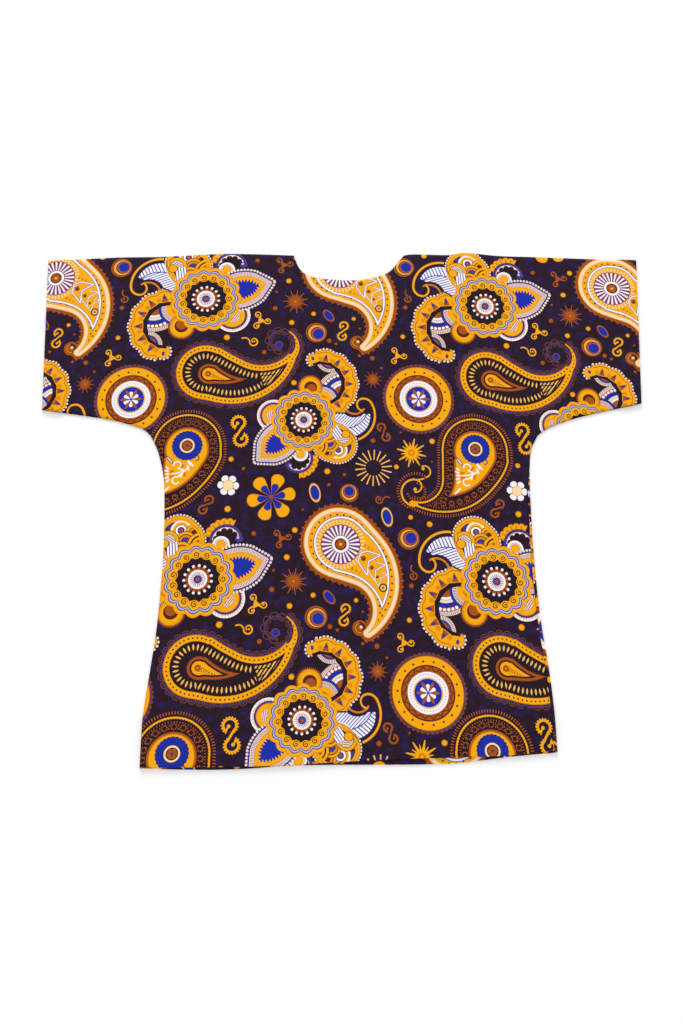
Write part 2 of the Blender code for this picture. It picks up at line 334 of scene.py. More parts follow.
def near(distance, depth):
    """1 over a turned edge, falling to 0 past the end of its turn-up."""
    return 1 - ease((distance - depth - STACK_MARGIN) / STACK_RAMP)


def roll_strip(up):
    """How wide the back's rolled edge shows on the front face at each height."""
    up = np.asarray(up)
    return np.where(up < ROLLS[-1].up, np.maximum(read_line(ROLL_LINE, up), 0.0), 0.0)


def mouth_distance(points):
    """The distance in from the nearer sleeve's mouth."""
    row = UNDERSIDES[-1]
    left = points[..., 0] < 0
    low_across = np.where(left, -row.left, row.right)
    low_up = np.where(left, row.left_up, row.right_up)
    high_across = np.where(left, LEFT_SLEEVE_TOP[0].across, RIGHT_SLEEVE_TOP[-1].across)
    high_up = np.where(left, LEFT_SLEEVE_TOP[0].up, RIGHT_SLEEVE_TOP[-1].up)
    share = (points[..., 1] - low_up) / (high_up - low_up)
    return np.abs(low_across + (high_across - low_across) * share) - np.abs(points[..., 0])


class Layout:
    """The points of one panel, as a body patch and two sleeve patches."""

    def __init__(self, sizes, hem_points, front):
        self.sizes = sizes
        self.front = front
        self.hem = smooth_line(hem_points)
        self.layer = sizes.solid_wall + sizes.seam_gap
        self.fold_radius = self.layer / 2
        self.inset = self.fold_radius + sizes.solid_wall / 2
        starts = [self.hem[0][1] + self.inset, self.hem[-1][1] + self.inset]
        left = [(float(read_line(LEFT_SIDE, up)), up) for up in self.side_rows(starts[0])]
        right = [(float(self.right_edge(up)), up) for up in self.side_rows(starts[1])]
        self.armpit_row = len(left) - 1
        self.roll_row = max(row for row, (_, up) in enumerate(right) if roll_strip(up) >= LEAST_STRIP)
        left += even_steps(left[-1], LEFT_SHOULDER[0], SLEEVE_ROWS)[1:]
        right += even_steps(right[-1], RIGHT_SHOULDER[-1], SLEEVE_ROWS)[1:]
        top = []
        for line, count in zip(TOP_LINES, (SHOULDER_COLUMNS, NECK_COLUMNS, SHOULDER_COLUMNS)):
            top += spaced(line, count)[bool(top):]
        across = np.linspace(left[0][0], right[0][0], len(top))
        bottom = np.stack([across, read_line(self.hem, across, 0, 1) + self.inset], -1)
        bottom[0], bottom[-1] = left[0], right[0]
        self.body = patch(bottom, top, left, right)
        self.sleeves = [
            self.sleeve(left[self.armpit_row:], LEFT_UNDERSIDE, SLEEVE_TOPS[0][::-1]),
            self.sleeve(right[self.armpit_row:], RIGHT_UNDERSIDE, SLEEVE_TOPS[1]),
        ]

    def side_rows(self, start):
        """The heights of the rows up a side, from the hem to the armpit."""
        turn = [start + self.sizes.hem_depth * step / TURN_ROWS for step in range(TURN_ROWS + 1)]
        rise = ARMPIT_UP - turn[-1]
        return turn + [turn[-1] + rise * step / BODY_ROWS for step in range(1, BODY_ROWS + 1)]

    def right_edge(self, up):
        """The panel's right edge: the back turns up at its roll, and the front ends beside the roll."""
        outline = read_line(RIGHT_SIDE, up)
        strip = roll_strip(up)
        if strip < LEAST_STRIP:
            return outline - (strip if self.front else 0.0)
        if self.front:
            return outline - strip - self.sizes.seam_gap
        return outline - self.roll_radius(up) - self.sizes.solid_wall / 2

    def roll_radius(self, up):
        """The roll's radius, larger where it goes round the stacked hems."""
        stacked = near(up - self.hem[-1][1], self.sizes.hem_depth)
        return ROLL_RADIUS + (1.5 * self.layer - ROLL_RADIUS) * stacked

    def sleeve(self, inner, underside, top):
        """A sleeve's patch, with its columns running from the mouth in to the body."""
        low, high = self.from_mouth(underside[::-1]), self.from_mouth(top[::-1])
        return np.swapaxes(patch(low, high, even_steps(low[0], high[0], SLEEVE_ROWS), inner), 0, 1)

    def from_mouth(self, line):
        """Points from a sleeve's mouth inwards, closer together over the turned edge."""
        turn = [self.inset + self.sizes.cuff_depth * step / TURN_ROWS for step in range(TURN_ROWS + 1)]
        return spaced(line, SLEEVE_COLUMNS, turn)

    def level(self, points):
        """The height of the middle of the cloth over each point."""
        back_level = self.sizes.solid_wall / 2
        if not self.front:
            return np.full(points.shape[:-1], back_level)
        hem_distance = points[..., 1] - read_line(self.hem, points[..., 0], 0, 1)
        stack = np.maximum(
            near(hem_distance, self.sizes.hem_depth + self.inset),
            near(mouth_distance(points), self.sizes.cuff_depth + self.inset),
        )
        inside = ease(distance_to(SEAM_LINES, points) / PUFF_REACH)
        ripples = sum(
            ripple.height * np.exp(-(distance_to([[ripple[0:2], ripple[2:4]]], points) / ripple.reach) ** 2)
            for ripple in RIPPLES
        )
        beside_roll = 1 - ease((read_line(RIGHT_SIDE, points[..., 1]) - points[..., 0]) / PUFF_REACH)
        rolled = ease(roll_strip(points[..., 1]) / LEAST_STRIP)
        lift = (2 * ROLL_RADIUS - self.layer) * beside_roll * rolled
        soft = (self.sizes.puff + ripples) * inside + lift
        return back_level + self.layer + 2 * self.layer * stack + (1 - stack) * soft

    def raised(self, rows):
        """The rows as points in space, followed by their place on the flat cloth."""
        flat = rows - np.array((0.0, self.sizes.length / 2))
        return np.concatenate([flat, self.level(rows)[..., None], flat], -1)


def folded(rows, count, outward, radius, turn):
    """Rows that carry a panel's first edge round a fold and back along its next rows."""
    edge = rows[0]
    fold = [edge]
    out = np.array((*outward, 0.0, 0.0, 0.0))
    for step in range(1, FOLD_STEPS + 1):
        angle = math.pi * step / FOLD_STEPS
        moved = edge + out * radius * math.sin(angle)
        moved[:, 2] += turn * radius * (1 - math.cos(angle))
        moved[:, 3:] = edge[:, 3:] + np.array(outward) * radius * angle
        fold.append(moved)
    for row in rows[1:count + 1]:
        moved = row.copy()
        moved[:, 2] = edge[:, 2] + turn * 2 * radius
        run = np.abs((row - edge)[:, :2] @ np.array(outward)) + math.pi * radius
        moved[:, 3:] = edge[:, 3:] + np.array(outward) * run[:, None]
        fold.append(moved)
    return np.array(fold)


def rolled_edge(layout, body):
    """Columns that carry the back's right edge round onto the front face."""
    columns = []
    for row in body[:layout.roll_row + 1]:
        start = row[-1]
        up = start[1] + layout.sizes.length / 2
        radius = float(layout.roll_radius(up))
        column = []
        for step in range(FOLD_STEPS + 1):
            angle = math.pi * step / FOLD_STEPS
            out = radius * math.sin(angle)
            column.append(start + np.array((out, 0, radius * (1 - math.cos(angle)), radius * angle, 0)))
        flat = float(roll_strip(up)) - radius - layout.sizes.solid_wall / 2
        for share in (0.5, 1.0):
            column.append(column[FOLD_STEPS] + np.array((-flat * share, 0, 0, flat * share, 0)))
        columns.append(column)
    return np.array(columns)


def print_place(across, up, settings, shift):
    """Where a place on the laid cloth lies in the print, after the cloth's pull is allowed for."""
    u = (across - PULL_CENTRE[0]) / PULL_ACROSS
    v = (up - PULL_CENTRE[1]) / PULL_UP
    for pull in PULLS:
        power = u ** pull.across_power * v ** pull.up_power
        across += pull.shift_across * power
        up += pull.shift_up * power
    return across - settings.across - shift[0], up - settings.up - shift[1]


def add_patch(mesh, flat_layer, rows):
    """Quads between neighbouring rows of points."""
    corners = []
    for row in rows:
        line = []
        for point in row:
            corner = mesh.verts.new(point[:3])
            corner[flat_layer] = (point[3], point[4], 0.0)
            line.append(corner)
        corners.append(line)
    for low, high in zip(corners, corners[1:]):
        for column in range(len(low) - 1):
            mesh.faces.new((low[column], low[column + 1], high[column + 1], high[column]))


def print_panel(context, data):
    """Gives each face of a panel the cotton with just those motifs that reach it."""
    repeat = context.scene.dashiki_print.repeat / MM
    corners = np.zeros(len(data.loops) * 2)
    data.uv_layers["Cloth"].data.foreach_get("uv", corners)
    corners = corners.reshape(-1, 2) / MM
    starts = np.array([face.loop_start for face in data.polygons])
    middles = (corners[starts] + corners[starts + 2]) / 2
    slack = np.hypot(*(corners[starts] - corners[starts + 2]).T).max()
    found = [shows(group, middles[:, 0], middles[:, 1], slack, repeat) for group in GROUPS]
    slots = {}
    for face, here in zip(data.polygons, zip(*found)):
        if here not in slots:
            slots[here] = len(slots)
            data.materials.append(printed_cotton(context, [group for group, on in zip(GROUPS, here) if on]))
        face.material_index = slots[here]


def build_panel(context, name, layout, turn, shift):
    """One panel: its cloth with hem and sleeve mouths folded, as a thin shell that knows its print."""
    sizes = layout.sizes
    mesh = bmesh.new()
    flat_layer = mesh.verts.layers.float_vector.new("flat")
    body = layout.raised(layout.body)
    add_patch(mesh, flat_layer, body)
    add_patch(mesh, flat_layer, folded(body, TURN_ROWS, (0.0, -1.0), layout.fold_radius, turn))
    for outward, columns in zip(((-1.0, 0.0), (1.0, 0.0)), layout.sleeves):
        sleeve = layout.raised(columns)
        add_patch(mesh, flat_layer, sleeve)
        add_patch(mesh, flat_layer, folded(sleeve, TURN_ROWS, outward, layout.fold_radius, turn))
    if not layout.front:
        add_patch(mesh, flat_layer, rolled_edge(layout, body))
    bmesh.ops.remove_doubles(mesh, verts=mesh.verts, dist=1e-6)
    bmesh.ops.recalc_face_normals(mesh, faces=mesh.faces)
    cloth_uv = mesh.loops.layers.uv.new("Cloth")
    settings = context.scene.dashiki_print
    for face in mesh.faces:
        for loop in face.loops:
            across, up, _ = loop.vert[flat_layer]
            loop[cloth_uv].uv = print_place(across, up, settings, shift)
    mesh.verts.layers.float_vector.remove(flat_layer)
    data = bpy.data.meshes.new(name)
    mesh.to_mesh(data)
    mesh.free()
    data.shade_smooth()
    print_panel(context, data)
    panel = bpy.data.objects.new(name, data)
    context.scene.collection.objects.link(panel)
    shell = panel.modifiers.new("Cloth thickness", "SOLIDIFY")
    shell.thickness = sizes.cloth
    shell.offset = 0.0
    shell.use_even_offset = True
    shell.use_quality_normals = True
    return panel


class Field:
    """A number that changes over the cloth, held by the node socket that gives it."""

    def __init__(self, pen, socket):
        self.pen = pen
        self.socket = socket

    def __add__(self, other):
        return self.pen.math("ADD", self, other)

    def __radd__(self, other):
        return self.pen.math("ADD", self, other)

    def __sub__(self, other):
        return self.pen.math("SUBTRACT", self, other)

    def __rsub__(self, other):
        return self.pen.math("SUBTRACT", other, self)

    def __mul__(self, other):
        return self.pen.math("MULTIPLY", self, other)

    def __lt__(self, other):
        return self.pen.math("LESS_THAN", self, other)

    def __gt__(self, other):
        return self.pen.math("GREATER_THAN", self, other)

    def __and__(self, other):
        return self.pen.math("MULTIPLY", self, other)

    def __or__(self, other):
        return self.pen.math("MAXIMUM", self, other)

    def __abs__(self):
        return self.pen.math("ABSOLUTE", self)

    def cosine(self):
        return self.pen.math("COSINE", self)

    def least(self, other):
        return self.pen.math("MINIMUM", self, other)

    def most(self, other):
        return self.pen.math("MAXIMUM", self, other)

    def most_smoothly(self, other, reach):
        return self.pen.math("SMOOTH_MAX", self, other, reach)

    def between(self, low, high):
        return self.pen.math("COMPARE", self, (low + high) / 2, (high - low) / 2)

    def repeated(self, period):
        """The same number brought back within half a period on each side of 0."""
        return self.pen.math("WRAP", self, period / 2, -period / 2)


class Spot:
    """A place on the cloth seen from a motif's own centre, in millimetres."""

    def __init__(self, pen, socket):
        self.pen = pen
        self.socket = socket
        self.sides = None

    def seen_from(self, across, up):
        return Spot(self.pen, self.pen.vector("SUBTRACT", self, (across, up, 0.0)))

    def wrapped(self, repeat):
        """The same place, as seen from the nearest repeat of the print."""
        half = repeat / 2
        return Spot(self.pen, self.pen.vector("WRAP", self, (half,) * 3, (-half,) * 3))

    def turned(self, degrees):
        """The same place, as seen by a motif that is turned anticlockwise by this angle."""
        return self.pen.spot(self.along(degrees), self.along(degrees + 90.0))

    def shrunk(self, size):
        """The same place, as seen by a motif that is drawn at this size."""
        node = self.pen.node("ShaderNodeVectorMath")
        node.operation = "SCALE"
        node.inputs["Scale"].default_value = 1 / size
        self.pen.plug(node.inputs[0], self)
        return Spot(self.pen, node.outputs["Vector"])

    def split(self):
        """The two distances from the motif's centre: across and up."""
        if self.sides is None:
            self.sides = self.along(0.0), self.along(90.0)
        return self.sides

    def far(self, across=0.0, up=0.0):
        """The distance from a point of the motif."""
        return Field(self.pen, self.pen.vector("DISTANCE", self, (across, up, 0.0), result="Value"))

    def along(self, degrees, across=0.0, up=0.0):
        """The distance in a direction, counted from a point of the motif."""
        way = (math.cos(math.radians(degrees)), math.sin(math.radians(degrees)), 0.0)
        start = across * way[0] + up * way[1]
        run = Field(self.pen, self.pen.vector("DOT_PRODUCT", self, way, result="Value"))
        return run - start if abs(start) > 1e-6 else run

    def bearing(self):
        """The direction in which the place lies from the motif's centre, in radians."""
        x, y = self.split()
        return self.pen.math("ARCTAN2", y, x)


class Pen:
    """Draws a motif in a node group of its own: masks, and the inks printed through them."""

    def __init__(self, name, repeat, inks):
        self.tree = bpy.data.node_groups.new(name, "ShaderNodeTree")
        self.repeat = repeat
        self.inks = inks
        sockets = self.tree.interface
        sockets.new_socket("Place", in_out="INPUT", socket_type="NodeSocketVector")
        sockets.new_socket("Beneath", in_out="INPUT", socket_type="NodeSocketColor")
        sockets.new_socket("Colour", in_out="OUTPUT", socket_type="NodeSocketColor")
        given = self.node("NodeGroupInput")
        self.place = Spot(self, given.outputs["Place"])
        self.colour = given.outputs["Beneath"]

    def node(self, kind):
        return self.tree.nodes.new(kind)

    def plug(self, slot, value):
        """Feeds a node's slot with a field, a spot or a plain value."""
        if isinstance(value, (Field, Spot)):
            self.tree.links.new(value.socket, slot)
        else:
            slot.default_value = value

    def math(self, operation, *values):
        node = self.node("ShaderNodeMath")
        node.operation = operation
        for slot, value in zip(node.inputs, values):
            self.plug(slot, value)
        return Field(self, node.outputs[0])

    def vector(self, operation, *values, result="Vector"):
        node = self.node("ShaderNodeVectorMath")
        node.operation = operation
        for slot, value in zip(node.inputs, values):
            self.plug(slot, value)
        return node.outputs[result]

    def spot(self, across, up):
        node = self.node("ShaderNodeCombineXYZ")
        self.plug(node.inputs["X"], across)
        self.plug(node.inputs["Y"], up)
        return Spot(self, node.outputs[0])

    def choose(self, mask, there, elsewhere):
        """One spot where the mask is on, and the other elsewhere."""
        node = self.node("ShaderNodeMix")
        node.data_type = "VECTOR"
        self.plug(node.inputs[0], mask)
        self.plug(node.inputs[4], elsewhere)
        self.plug(node.inputs[5], there)
        return Spot(self, node.outputs[1])

    def pick(self, mask, there, elsewhere):
        """One number where the mask is on, and the other elsewhere."""
        node = self.node("ShaderNodeMix")
        self.plug(node.inputs[0], mask)
        self.plug(node.inputs[2], elsewhere)
        self.plug(node.inputs[3], there)
        return Field(self, node.outputs[0])

    def paint(self, mask, ink):
        """Prints an ink wherever the mask is on, over what is there."""
        node = self.node("ShaderNodeMix")
        node.data_type = "RGBA"
        self.plug(node.inputs[0], mask)
        self.tree.links.new(self.colour, node.inputs[6])
        node.inputs[7].default_value = (*self.inks[ink], 1.0)
        self.colour = node.outputs[2]

    def discs(self, far, rings, clip=None):
        """Prints discs one inside another, from the widest, inside a clip if there is one."""
        for radius, ink in rings:
            disc = far < radius
            self.paint(disc & clip if clip else disc, ink)

    def steps(self, depth, edges, clip=None):
        """Prints an ink inwards from each depth in turn, inside a clip if there is one."""
        for edge, ink in edges:
            inside = depth > edge
            self.paint(inside & clip if clip else inside, ink)

    def local(self, place):
        """The place on the cloth, seen from the nearest repeat of a motif's place."""
        spot = self.place.seen_from(place.across, place.up).wrapped(self.repeat)
        if place.turn:
            spot = spot.turned(place.turn)
        if place.size != 1:
            spot = spot.shrunk(place.size)
        return spot

    def gather(self, places, reach):
        """The spot seen from the nearest of a motif's places, and a mask of the second kind's places."""
        spot = self.local(places[0])
        second = spot.far() < reach if places[0].second else None
        for place in places[1:]:
            other = self.local(place)
            closer = other.far() < reach
            spot = self.choose(closer, other, spot)
            if place.second:
                second = second | closer if second else closer
        return spot, second

    def finish(self):
        """Hands out the last colour and gives the finished group."""
        result = self.node("NodeGroupOutput")
        self.tree.links.new(self.colour, result.inputs[0])
        return self.tree


FULL_TURN = 2 * math.pi


def sector(bearing, count, start=0.0):
    """The angle from the middle of the nearest of some even sectors."""
    first = bearing - math.radians(start) if start else bearing
    return first.repeated(FULL_TURN / count)


def bumps(bearing, count):
    """1 at the crown of each scallop round a motif and 0 at the notches between."""
    return abs((bearing * (count / 2)).cosine())


def around(bearing, far, count, radius, start=0.0):
    """The place seen from the nearest of a ring of spots."""
    return far.pen.spot(sector(bearing, count, start) * radius, far - radius)


def beads(bearing, far, count, radius, size, start=0.0):
    """A ring of round dots."""
    return around(bearing, far, count, radius, start).far() < size


def rays(bearing, far, count, inner, outer, width, start=0.0, tip=None):
    """Straight rays, which may narrow to a tip of another width."""
    run = abs(sector(bearing, count, start) * far)
    if tip is None:
        return (run < width / 2) & far.between(inner, outer)
    slope = (width - tip) / 2 / (outer - inner)
    return (run + far * slope < width / 2 + inner * slope) & far.between(inner, outer)


def petals(bearing, far, count, root, reach, radius, start=0.0):
    """Round-ended petals that widen outwards from the middle."""
    head = reach - radius
    turn = abs(sector(bearing, count, start))
    round_end = turn.pen.spot(turn * head, far - head).far() < radius
    return round_end | ((turn < math.asin(radius / head)) & far.between(root, head))


def leaves(bearing, far, count, inner, outer, width, start=0.0):
    """Petals pointed at both ends."""
    middle, half = (inner + outer) / 2, (outer - inner) / 2
    away = (far - middle) * (1 / half)
    run = abs(sector(bearing, count, start) * far)
    return run + away * away * (width / 2) < width / 2


def spiral(spot, pitch, share, radius, start):
    """A curl whose line winds in to the middle, as wide as this share of its pitch."""
    far = spot.far()
    winding = (far * (1 / pitch) - spot.bearing() * (1 / FULL_TURN) + start).repeated(1.0)
    return (abs(winding) < share / 2) & (far < radius)


def arc(spot, across, up, radius, start, end, width):
    """A line bent round a point, anticlockwise from one direction to another."""
    seen = spot.seen_from(across, up).turned((start + end) / 2)
    return (abs(seen.far() - radius) < width / 2) & (abs(seen.bearing()) < math.radians((end - start) / 2))


def away_from(spot, points):
    """The distance from a line through a few points."""
    nearest = None
    for (x0, y0), (x1, y1) in zip(points, points[1:]):
        way = math.degrees(math.atan2(y1 - y0, x1 - x0))
        middle = spot.seen_from((x0 + x1) / 2, (y0 + y1) / 2)
        past = (abs(middle.along(way)) - math.dist((x0, y0), (x1, y1)) / 2).most(0.0)
        away = spot.pen.spot(past, middle.along(way + 90)).far()
        nearest = nearest.least(away) if nearest else away
    return nearest


def stroke(spot, points, width):
    """A line of this width through a few points."""
    return away_from(spot, points) < width / 2


def stripes(run, pitch, width):
    """Even stripes across a run."""
    return abs(run.repeated(pitch)) < width / 2


def hatch(pen, spot, count, radius, inner, outer, clip):
    """Prints fine brown lines across a ring, inside a clip."""
    lines = abs(sector(spot.bearing(), count) * radius) < 0.5
    pen.paint(lines & clip & spot.far().between(inner, outer), "brown")


def blot(spot, across, up, long, wide, way):
    """An oval spot of ink, given by its half length and half width."""
    x, y = spot.along(way, across, up), spot.along(way + 90, across, up)
    return spot.pen.spot(x * (1 / long), y * (1 / wide)).far() < 1.0


Ring = namedtuple("Ring", "across up radius")


class Drop:
    """A paisley: a round head that narrows into a tail, which bends round the circle of its curl."""

    NECK_STEEPNESS = 3.0
    TIP_STEEPNESS = 40.0
    BACK_RELIEF = 0.012

    def __init__(self, spot, head, curl, back, hand, tip, neck_blend=9.0, back_blend=9.0):
        pen = spot.pen
        apart = math.dist(head[:2], curl[:2])
        touch = head.radius + curl.radius
        slope = math.atan2(curl.up - head.up, curl.across - head.across)
        way = math.degrees(slope + hand * math.asin(touch / apart))
        neck = math.sqrt(apart ** 2 - touch ** 2)
        x = spot.along(way, curl.across, curl.up)
        y = spot.along(way + 90 * hand, curl.across, curl.up)
        seen = pen.spot(x, y)
        reach = math.dist(back[:2], curl[:2])
        lean = hand * (math.atan2(back.up - curl.up, back.across - curl.across) - math.radians(way))
        back_x, back_y = reach * math.cos(lean), reach * math.sin(lean)
        self.pen, self.radii, self.neck = pen, (head.radius, curl.radius, back.radius), neck
        self.back_at = (back_x + neck, back_y - touch)
        from_head = seen.seen_from(-neck, touch)
        from_back = seen.seen_from(back_x, back_y)
        from_curl = pen.spot(x.most(0.0), y)
        head_x, head_y = from_head.split()
        self.head_turn = pen.math("ARCTAN2", head_y, 0.0 - head_x)
        self.curl_turn = math.pi / 2 - from_curl.bearing()
        self.back_turn = from_back.bearing()
        self.neck_run = x.least(0.0)
        rounded = head.radius - from_head.far()
        inner, outer = from_curl.far() - curl.radius, back.radius - from_back.far()
        bent = inner.least((x + neck) * self.NECK_STEEPNESS)
        bent = bent.least(seen.along(tip + 90.0) * self.TIP_STEEPNESS)
        past = head_x.most(0.0)
        filled = rounded.most_smoothly(outer, back_blend)
        filled = filled.least(rounded.most(outer) + past * past * self.BACK_RELIEF)
        self.depth = rounded.most_smoothly(bent, neck_blend).least(filled)
        self.in_head, self.at_back = rounded > bent.least(outer), outer < inner

    def run(self, depth):
        """The distance along the line at this depth inside the edge, without a break at its bends."""
        head, curl, back = self.radii[0] - depth, self.radii[1] + depth, self.radii[2] - depth
        back_x, back_y = self.back_at
        apart = math.hypot(back_x, back_y)
        spread = math.acos(max(-1.0, min(1.0, (apart ** 2 + head ** 2 - back ** 2) / (2 * apart * head))))
        facing = math.atan2(back_y, back_x)
        bend = max(facing + spread, facing - spread, key=math.cos)
        x, y = head * math.cos(bend), head * math.sin(bend)
        met = math.atan2(y, -x) % FULL_TURN * head + math.atan2(y - back_y, x - back_x) * back
        bent = -self.neck - head * math.pi / 2 - (self.curl_turn * curl + self.neck_run)
        tail = self.pen.pick(self.at_back, met - self.back_turn * back, bent)
        return self.pen.pick(self.in_head, self.head_turn * head, tail)

    def cell(self, depth, pitch, start=0.0):
        """The place seen from the nearest of a row of spots that follows the edge."""
        return self.pen.spot((self.run(depth) + start).repeated(pitch), self.depth - depth)

    def dots(self, depth, pitch, size, start=0.0):
        """A row of round dots that follows the edge."""
        return self.cell(depth, pitch, start).far() < size

    def ticks(self, depth, pitch, length, width):
        """A row of short lines that stand on the edge."""
        across, up = self.cell(depth, pitch).split()
        return (abs(across) < width / 2) & (abs(up) < length / 2)

    def scallops(self, depth, pitch):
        """1 at the crown of each scallop along the edge and 0 at the notches between."""
        return abs((self.run(depth) * (math.pi / pitch)).cosine())


# Each motif's places in one repeat, in millimetres from the repeat's origin beside the medallion
Place = namedtuple("Place", "across up turn size second", defaults=(0.0, 1.0, False))
Dot = namedtuple("Dot", "across up radius turn size", defaults=(0.0, 1.0))

YELLOW_DOTS = (
    Dot(16, -207.5, 4.4), Dot(153, 98, 4.7), Dot(24, -73, 4.3), Dot(-35, -117, 3.7),
    Dot(163.5, -106.5, 3.9), Dot(160, -186, 4.7), Dot(-14, -197.5, 3.6), Dot(-145.5, -126.5, 4.5),
    Dot(-21, 104, 3.7), Dot(-167.5, 140, 3.7), Dot(-102, 132.5, 3.2), Dot(-196, -220, 4.2),
    Dot(-208, 198, 4.3), Dot(-203, 124, 4.2), Dot(-199, 20, 4.2),
)
RUST_DOTS = (
    Dot(-16, 156, 4.2), Dot(-71.5, 64.5, 4.4), Dot(-72, -75, 4.4), Dot(183, -122, 3.3),
    Dot(-118.5, -131.5, 3.2), Dot(-143, -148, 3.2), Dot(-184, -188, 2.3), Dot(-93, 68, 3.0),
    Dot(-142, 93, 4.2), Dot(201, -225, 4.2), Dot(230, 149, 4.4), Dot(213, 72, 4.2), Dot(-57, 48, 2.6),
    Dot(-27, -60, 2.2), Dot(22.5, -107, 2.2), Dot(232, 178, 2.6), Dot(-92, 115.5, 2.2), Dot(-131, 88, 3.0),
)
MEDALLIONS = (Place(3.5, -2.5),)
FLOWERS = (Place(118.5, 166.5), Place(277.0, -42.0, 207.5, 0.915))
SIX_PETALS = (Place(227.0, -168.0),)
WHITE_FLOWERS = (Place(160.0, -148.5),)
LONG_STARS = (Place(-10.0, -93.0),)
SUNBURSTS = (Place(-71.5, -119.5),)
SMALL_STARS = (Place(-197.0, 161.0), Place(-71.0, 28.0, 10.0, 0.72))
MOONS = (Place(-111.0, -161.0, 90.0, 0.86), Place(-163.0, 107.0, -35.0), Place(-18.0, 229.0, 10.0))
OVALS = (Place(-165.0, -161.0, 103.0), Place(-51.5, -198.0, 103.0), Place(-143.0, 137.0, 128.0, 0.8, True))
SCROLLS = (
    Place(176.0, -61.0), Place(-119.5, 110.5, -18.0, 0.66), Place(-54.5, -60.5, 17.0, 0.62, True),
    Place(126.5, -178.5, -39.0, 0.63, True),
)
TRISKELIONS = (Place(-30.0, 70.0), Place(207.0, 127.0, -5.0, 1.05), Place(-216.5, 227.0, 12.0, 1.0, True))
SQUIGGLES = (
    Place(195.0, 91.0), Place(-62.5, -170.0, -4.0, 0.85, True), Place(-13.0, 172.0, 79.0, 0.85, True),
)
CREAM_DROPS = (Place(-127.5, 221.0),)
LACE_DROPS = (Place(119.0, 39.0),)
DARK_DROPS = (Place(94.0, -86.0),)
DOT_WINDOW = (9.0, -4.0)

# How far from its middle the large flower reaches, in millimetres
FLOWER_REACH = 143.0


def draw_dots(pen):
    """Loose dots, each with a rim."""
    spot = pen.place.seen_from(*DOT_WINDOW).wrapped(pen.repeat)
    for dots, rim, ink in ((YELLOW_DOTS, "amber", "yellow"), (RUST_DOTS, "umber", "rust")):
        nearest = None
        for dot in dots:
            away = spot.far(dot.across - DOT_WINDOW[0], dot.up - DOT_WINDOW[1]) - dot.radius
            nearest = nearest.least(away) if nearest else away
        pen.discs(nearest, ((0.3, rim), (-0.9, ink)))


def draw_medallion(pen):
    """The round medallion with a ring of loops and a small daisy."""
    spot = pen.local(MEDALLIONS[0])
    far, bearing = spot.far(), spot.bearing()
    pen.discs(around(bearing, far, 50, 56.0).far(), ((3.3, "brown"), (1.5, "violet")))
    pen.discs(far, ((54.0, "amber"), (53.0, "yellow")))
    pen.paint(beads(bearing, far, 18, 46.0, 1.7, 17.0), "umber")
    pen.discs(far, ((40.8, "umber"), (39.4, "rust")))
    dome = pen.spot(sector(bearing, 18, 10.0) * 40.95, far - 39.5).far()
    pen.paint((dome < 6.9) & (far < 39.8), "umber")
    pen.paint((dome < 5.4) & (far < 38.8), "rust")
    pen.paint(far < 30.8, "white")
    pen.paint(beads(bearing, far, 38, 26.6, 1.1), "lavender")
    pen.discs(far, ((22.8, "honey"), (20.6, "cobalt")))
    pen.paint(leaves(bearing, far, 6, 4.5, 18.0, 5.0), "rust")
    pen.paint(petals(bearing, far, 6, 2.0, 12.8, 2.7, 30.0), "white")


def draw_six_petals(pen):
    """The yellow flower with a blue core in each petal."""
    spot = pen.local(SIX_PETALS[0])
    far, bearing = spot.far(), spot.bearing()
    for root, reach, radius, ink in (
        (0.0, 38.2, 10.2, "amber"), (3.0, 37.4, 9.3, "yellow"),
        (0.0, 22.3, 5.6, "rust"), (3.5, 21.6, 4.9, "cobalt"),
    ):
        pen.paint(petals(bearing, far, 6, root, reach, radius, 10.0) & (far > root), ink)


def draw_white_flower(pen):
    """The small white flower with a cream middle."""
    spot = pen.local(WHITE_FLOWERS[0])
    far, bearing = spot.far(), spot.bearing()
    pen.paint(beads(bearing, far, 6, 11.4, 5.3, -4.0), "white")
    pen.discs(far, ((8.6, "honey"), (7.4, "cream")))


def draw_stars(pen):
    """A long-rayed yellow star, the ring of rays and the small rust stars."""
    star = pen.local(LONG_STARS[0])
    far, bearing = star.far(), star.bearing()
    pen.paint(rays(bearing, far, 8, 4.0, 24.0, 5.4, 32.0, 1.6), "yellow")
    pen.paint(rays(bearing, far, 8, 4.0, 17.5, 4.0, 9.5, 1.0), "yellow")
    pen.paint(far < 9.5, "yellow")
    pen.paint(far.between(3.0, 5.4), "amber")
    burst = pen.local(SUNBURSTS[0])
    pen.paint(rays(burst.bearing(), burst.far(), 18, 13.0, 29.5, 1.8, 7.0, 2.2), "honey")
    small, _ = pen.gather(SMALL_STARS, 26.0)
    far, bearing = small.far(), small.bearing()
    pen.paint(rays(bearing, far, 11, 0.0, 20.5, 3.5, 15.0, 0.9), "rust")
    pen.paint(rays(bearing, far, 11, 0.0, 13.5, 3.0, -1.4, 0.9), "rust")
    pen.discs(far, ((5.0, "rust"), (1.9, "amber")))


def draw_moons(pen):
    """Round eyes with their rings crowded to one side."""
    spot, _ = pen.gather(MOONS, 20.0)
    for shift, radius, ink in (
        (0.0, 17.0, "rust"), (0.4, 14.8, "ground"), (0.8, 13.9, "yellow"), (2.4, 11.6, "violet"),
        (3.0, 10.4, "rust"), (3.8, 8.4, "cobalt"),
    ):
        pen.paint(spot.far(shift, 0.0) < radius, ink)


